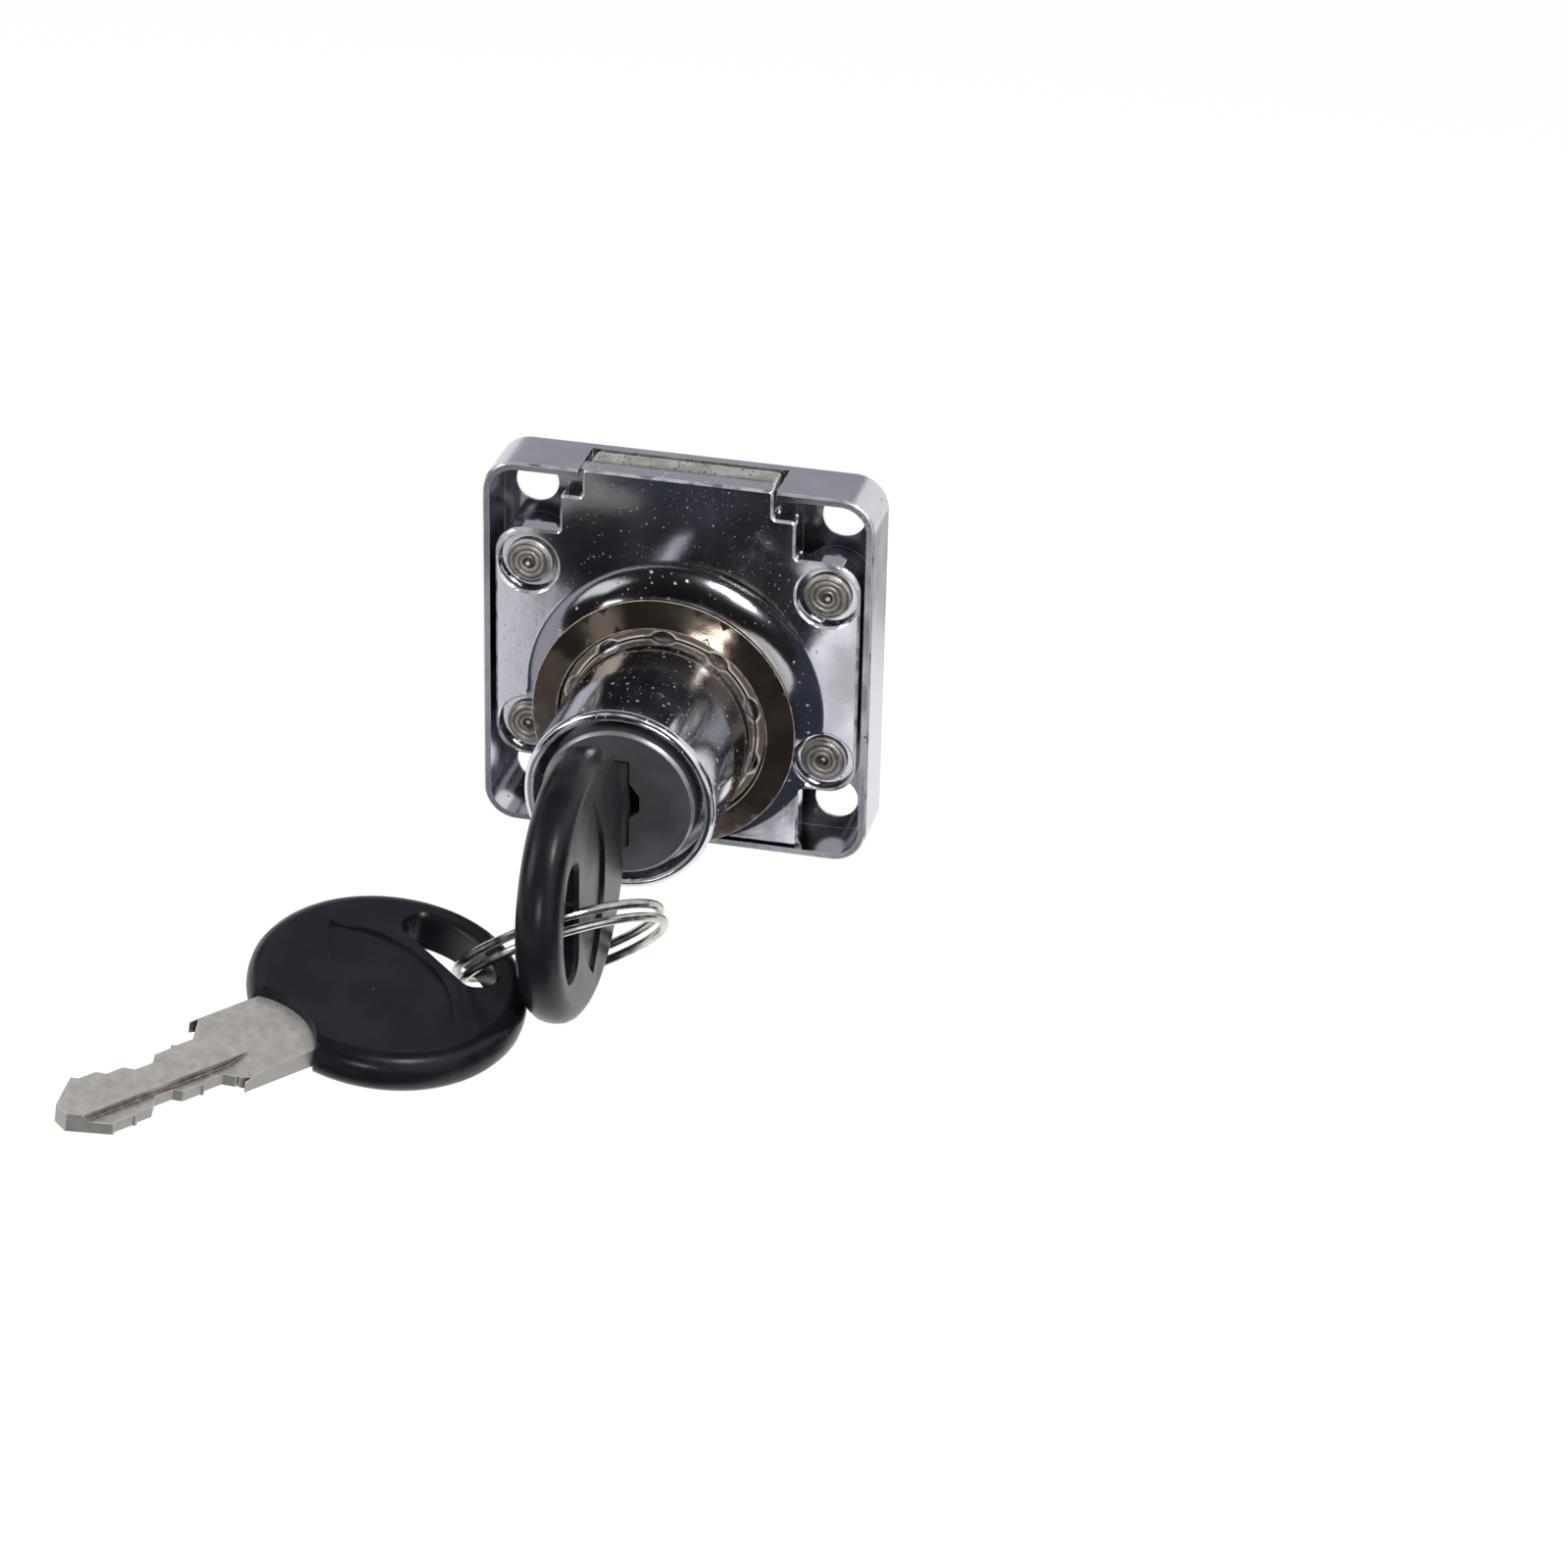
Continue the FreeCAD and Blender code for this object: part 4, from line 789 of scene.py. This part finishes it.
def dress_cad():
    """Gives every CAD piece its finish."""
    plastic = black_plastic()
    brass = stamped_brass()
    steel = spring_steel()
    # The edge materials paint a highlight on the rounded edges, paler than the faces.
    chrome_edges = edge_highlights("Chrome edges", (0.86, 0.87, 0.9, 1), (0.55, 0.56, 0.6, 1), 0.4, 1.6)
    steel_edges = edge_highlights("Steel edges", (0.7, 0.68, 0.65, 1), (0.42, 0.39, 0.36, 1), 0.4, 0.9)
    trim_edges = edge_highlights("Trim edges", (0.62, 0.54, 0.44, 1), (0.24, 0.19, 0.14, 1), 0.3, 1.2)
    key_edges = edge_highlights("Key edges", (0.84, 0.82, 0.79, 1), (0.56, 0.54, 0.51, 1), 0.4, 1.2)
    dress("case", case_chrome(), 0.14, chrome_edges)
    dress("cover_and_barrel", cover_chrome(), 0.1, chrome_edges)
    dress("cover_rivets", rivet_steel(), 0.1, steel_edges)
    dress("plug", plug_metal(), 0.06)
    dress("plug_clip", steel, 0.04)
    dress("bolt", bolt_nickel(), 0.12, steel_edges)
    dress("trim_ring", trim_nickel(), 0.07, trim_edges, whole=False)
    dress("split_ring", ring_nickel(), 0.0)
    for name in ("key_bow", "loose_key_bow"):
        dress(name, plastic, 0.25)
    # The seated blade is a darker copy of the key nickel: painted shade for the blade inside the lock.
    dress("key_blade", key_nickel("Seated key nickel", 0.8, SEATED_FLAT, 0.25), 0.1)
    dress("loose_key_blade", key_nickel("Key nickel", 0.6, LOOSE_FLAT), 0.12, key_edges)
    for number in range(WAFERS):
        dress("wafer_%d" % (number + 1), brass, 0.03)


# The lattice on the back

def mesh_piece(name, build, material, body):
    """A new piece from a function that fills a bmesh in metres."""
    mesh = bpy.data.meshes.new(name)
    shape = bmesh.new()
    build(shape)
    bmesh.ops.recalc_face_normals(shape, faces=shape.faces)
    shape.to_mesh(mesh)
    shape.free()
    piece = bpy.data.objects.new(name, mesh)
    bpy.context.scene.collection.objects.link(piece)
    mesh.materials.append(material)
    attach(piece, body)
    return piece


def in_panel(x, z, middle):
    """Whether a point lies in the sunk panel, clear of its border and of the lands round the screws."""
    across = abs(x - middle.x)
    up = abs(z - middle.z)
    if max(across, up) > PANEL_HALF:
        return False
    return math.hypot(across - SCREW_OFFSET, up - SCREW_OFFSET) > PANEL_LAND


def diagonal_runs(offset, middle):
    """The stretches of one diagonal line that lie in the panel, as distances along it."""
    steps = int(2 * LATTICE_REACH / RUN_STEP)
    runs = []
    start = None
    for number in range(steps + 1):
        distance = -LATTICE_REACH + number * RUN_STEP
        point = middle + ALONG * distance + ASIDE * offset
        inside = in_panel(point.x, point.z, middle)
        if inside and start is None:
            start = distance
        if start is not None and not inside:
            runs.append((start, distance - RUN_STEP))
            start = None
    return [run for run in runs if run[1] - run[0] > SHORTEST_RUN]


def add_ridge(shape, middle, offset, start, end, half_width, height):
    """A low roof-shaped ridge with sloped ends, on the panel's floor."""

    def corner(distance, side, lift):
        place = middle + ALONG * distance + ASIDE * (offset + side)
        return shape.verts.new(Vector((place.x, PANEL_FLOOR + lift, place.z)) * MM)

    base = [
        corner(start, -half_width, RIDGE_FOOT),
        corner(start, half_width, RIDGE_FOOT),
        corner(end, half_width, RIDGE_FOOT),
        corner(end, -half_width, RIDGE_FOOT),
    ]
    top = [corner(start + half_width, 0, height), corner(end - half_width, 0, height)]
    shape.faces.new((base[0], base[1], top[0]))
    shape.faces.new((base[1], base[2], top[1], top[0]))
    shape.faces.new((base[2], base[3], top[1]))
    shape.faces.new((base[3], base[0], top[0], top[1]))


def fill_lattice(shape):
    """Ridges on one diagonal, with short hatching between them that leaves smooth squares."""
    low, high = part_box("case")
    middle = (low + high) / 2 / MM
    middle.y = 0
    count = int(LATTICE_REACH / RIDGE_PITCH)
    for number in range(-count, count + 1):
        offset = number * RIDGE_PITCH
        for start, end in diagonal_runs(offset, middle):
            add_ridge(shape, middle, offset, start, end, RIDGE_HALF_WIDTH, RIDGE_HEIGHT)
        for row in range(HATCH_ROWS):
            beside = offset + RIDGE_PITCH * (row + 1) / (HATCH_ROWS + 1)
            for start, end in diagonal_runs(beside, middle):
                add_hatching(shape, middle, beside, start, end, number % 2)


def add_hatching(shape, middle, offset, start, end, odd):
    """Dashes on one line, shifted by half a square in every other band."""
    first = math.floor(start / RIDGE_PITCH) - 1
    last = math.ceil(end / RIDGE_PITCH) + 1
    for number in range(first, last):
        begin = (number + 0.5 * odd) * RIDGE_PITCH
        head = max(start, begin)
        tail = min(end, begin + HATCH_LENGTH)
        if tail - head > SHORTEST_RUN:
            add_ridge(shape, middle, offset, head, tail, HATCH_HALF_WIDTH, HATCH_HEIGHT)


# The springs under the wafers

def fill_springs(shape):
    """Five small coils, each in the place of its plain bar."""
    low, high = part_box("tumbler_springs")
    width = high.x - low.x
    radius = width / 2 - SPRING_WIRE * MM / 2
    pitch = (high.y - low.y - width) / (WAFERS - 1)
    for number in range(WAFERS):
        foot = Vector(((low.x + high.x) / 2, low.y + width / 2 + number * pitch, low.z))
        add_coil(shape, foot, radius, high.z - low.z)


def add_coil(shape, foot, radius, height):
    """A round wire wound up from foot."""
    wire = SPRING_WIRE * MM / 2
    steps = SPRING_COILS * SPRING_STEPS
    rings = []
    for step in range(steps + 1):
        turn = 2 * math.pi * step / SPRING_STEPS
        outward = Vector((math.cos(turn), math.sin(turn), 0))
        rise = wire + (height - 2 * wire) * step / steps
        middle = foot + outward * radius + Vector((0, 0, rise))
        ring = []
        for side in range(WIRE_SIDES):
            angle = 2 * math.pi * side / WIRE_SIDES
            reach = outward * math.cos(angle) + Vector((0, 0, 1)) * math.sin(angle)
            ring.append(shape.verts.new(middle + reach * wire))
        rings.append(ring)
    for below, above in zip(rings, rings[1:]):
        for side in range(WIRE_SIDES):
            after = (side + 1) % WIRE_SIDES
            shape.faces.new((below[side], below[after], above[after], above[side]))
    shape.faces.new(rings[0])
    shape.faces.new(list(reversed(rings[-1])))


def add_details():
    """The pieces that the CAD leaves plain: the lattice and the coils."""
    mesh_piece("back_lattice", fill_lattice, panel_chrome(), "case")
    springs = mesh_piece("spring_coils", fill_springs, spring_steel(), "plug")
    for face in springs.data.polygons:
        face.use_smooth = True
    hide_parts("tumbler_springs")


# Stage, light and camera

def seen_directly(tree):
    """1 for rays from the camera, from gloss and through glass, 0 for light that falls on things."""
    path = tree.new("ShaderNodeLightPath").outputs
    seen = tree.calc("ADD", path["Is Camera Ray"], path["Is Glossy Ray"])
    return tree.calc("ADD", seen, path["Is Transmission Ray"], clamp=True)


def make_world():
    """A plain white surrounding."""
    world = bpy.data.worlds.new("Studio")
    world.use_nodes = True
    tree = Tree(world.node_tree)
    back = world.node_tree.nodes["Background"]
    back.inputs["Color"].default_value = WHITE
    tree.feed(back.inputs["Strength"], tree.between(seen_directly(tree), 0.0, 1.0, WORLD_LEVEL, 1.0))
    bpy.context.scene.world = world


def plane_object(name, place, facing, width, height, material):
    """A flat rectangle that faces a direction, kept off the object as part of the stage."""
    mesh = bpy.data.meshes.new(name)
    corners = [(-1, -1, 0), (1, -1, 0), (1, 1, 0), (-1, 1, 0)]
    mesh.from_pydata(corners, [], [(0, 1, 2, 3)])
    mesh.materials.append(material)
    plane = bpy.data.objects.new(name, mesh)
    bpy.context.scene.collection.objects.link(plane)
    plane.location = place
    plane.rotation_mode = "QUATERNION"
    plane.rotation_quaternion = Vector(facing).to_track_quat("Z", "Y")
    plane.scale = (width / 2, height / 2, 1)
    return plane


def make_floor():
    """A pale floor that keeps the object's shadow."""
    finish = Finish("Floor white", metallic=0.0)
    nodes = finish.nodes
    finish.set(Base_Color=FLOOR_COLOUR, Roughness=0.9, Specular_IOR_Level=0.0, Emission_Color=WHITE)
    glow = nodes.calc("MULTIPLY", seen_directly(nodes), FLOOR_GLOW)
    nodes.feed(finish.shader.inputs["Emission Strength"], glow)
    plane_object("floor", (0, 0, FLOOR_HEIGHT), (0, 0, 1), FLOOR_SIZE, FLOOR_SIZE, finish.material)


def card_material(name, colour, softness, level):
    """A studio card whose edges fade out."""
    material = bpy.data.materials.new(name)
    material.use_nodes = True
    tree = Tree(material.node_tree)
    material.node_tree.nodes.remove(material.node_tree.nodes["Principled BSDF"])
    place = tree.split(tree.new("ShaderNodeTexCoord").outputs["Object"])
    masks = []
    for axis, fade in (("X", softness[0]), ("Y", softness[1])):
        distance = tree.calc("ABSOLUTE", place[axis])
        masks.append(tree.between(distance, 1.0 - fade, 1.0, 1.0, 0.0))
    mask = tree.calc("MULTIPLY", masks[0], masks[1])
    shine = tree.new("ShaderNodeEmission", {"Color": colour, "Strength": level})
    clear = tree.new("ShaderNodeBsdfTransparent")
    mix = tree.new("ShaderNodeMixShader", {0: mask})
    tree.feed(mix.inputs[1], clear.outputs[0])
    tree.feed(mix.inputs[2], shine.outputs[0])
    tree.feed(material.node_tree.nodes["Material Output"].inputs["Surface"], mix.outputs[0])
    return material


def add_card(name, place, towards, width, height, colour, softness, level):
    """A studio card seen only in reflections; it faces a point."""
    material = card_material(name, colour, softness, level)
    card = plane_object(name, place, Vector(towards) - Vector(place), width, height, material)
    card.visible_camera = False
    card.visible_diffuse = False
    card.visible_transmission = False
    card.visible_shadow = False
    card.visible_volume_scatter = False


def seen_in_cover(x, z):
    """The point, a fixed way off, that the camera sees mirrored in the cover's flat face at x, z."""
    point = Vector((x, 0, z)) * MM
    mirrored = Vector((CAMERA_PLACE.x, -CAMERA_PLACE.y, CAMERA_PLACE.z))
    return point + (point - mirrored).normalized() * CARD_DISTANCE


def add_window(name, left, right, foot, top, softness, level):
    """A bright card that shows in the cover's face between these sides, in millimetres."""
    near = seen_in_cover((left + right) / 2, (foot + top) / 2)
    width = (seen_in_cover(right, 0) - seen_in_cover(left, 0)).length
    height = (seen_in_cover(0, top) - seen_in_cover(0, foot)).length
    add_card(name, near, CENTRE, width, height, WHITE, softness, level)


def add_lamp(name, direction, distance, size, power):
    """A square lamp that shines at the middle of the frame."""
    data = bpy.data.lights.new(name, "AREA")
    data.shape = "SQUARE"
    data.size = size
    data.energy = power
    lamp = bpy.data.objects.new(name, data)
    bpy.context.scene.collection.objects.link(lamp)
    way = Vector(direction).normalized()
    lamp.location = way * distance
    lamp.rotation_mode = "QUATERNION"
    lamp.rotation_quaternion = way.to_track_quat("Z", "Y")


def make_light():
    """The white surrounding, the lamps, and the cards that the chrome mirrors."""
    make_world()
    for name, lamp in LAMPS.items():
        add_lamp(name, *lamp)
    for name, (place, width, length, colour, softness) in TABLE_CARDS.items():
        low = Vector(place) + Vector((0, 0, FLOOR_HEIGHT))
        add_card(name, low, low + Vector((0, 0, 1)), width, length, colour, softness, 1.0)
    for name, card in CARDS.items():
        add_card(name, *card)
    for name, window in WINDOWS.items():
        add_window(name, *window)


def make_camera():
    """The camera at the photograph's place, turned by the photograph's angles."""
    azimuth = math.radians(CAMERA_AZIMUTH)
    elevation = math.radians(CAMERA_ELEVATION)
    roll = math.radians(CAMERA_ROLL)
    back = Vector((
        math.sin(azimuth) * math.cos(elevation),
        -math.cos(azimuth) * math.cos(elevation),
        math.sin(elevation),
    ))
    level = Vector((math.cos(azimuth), math.sin(azimuth), 0))
    upright = back.cross(level)
    right = level * math.cos(roll) + upright * math.sin(roll)
    up = upright * math.cos(roll) - level * math.sin(roll)
    data = bpy.data.cameras.new("Camera")
    data.sensor_width = CAMERA_SENSOR
    data.lens = CAMERA_LENS
    data.clip_start = CAMERA_CLIP
    camera = bpy.data.objects.new("Camera", data)
    bpy.context.scene.collection.objects.link(camera)
    turn = Matrix((right, up, back)).transposed().to_4x4()
    camera.matrix_world = Matrix.Translation(CAMERA_PLACE) @ turn
    bpy.context.scene.camera = camera


dress_cad()
add_details()
make_floor()
make_light()
make_camera()
bpy.context.scene.view_settings.view_transform = "Standard"
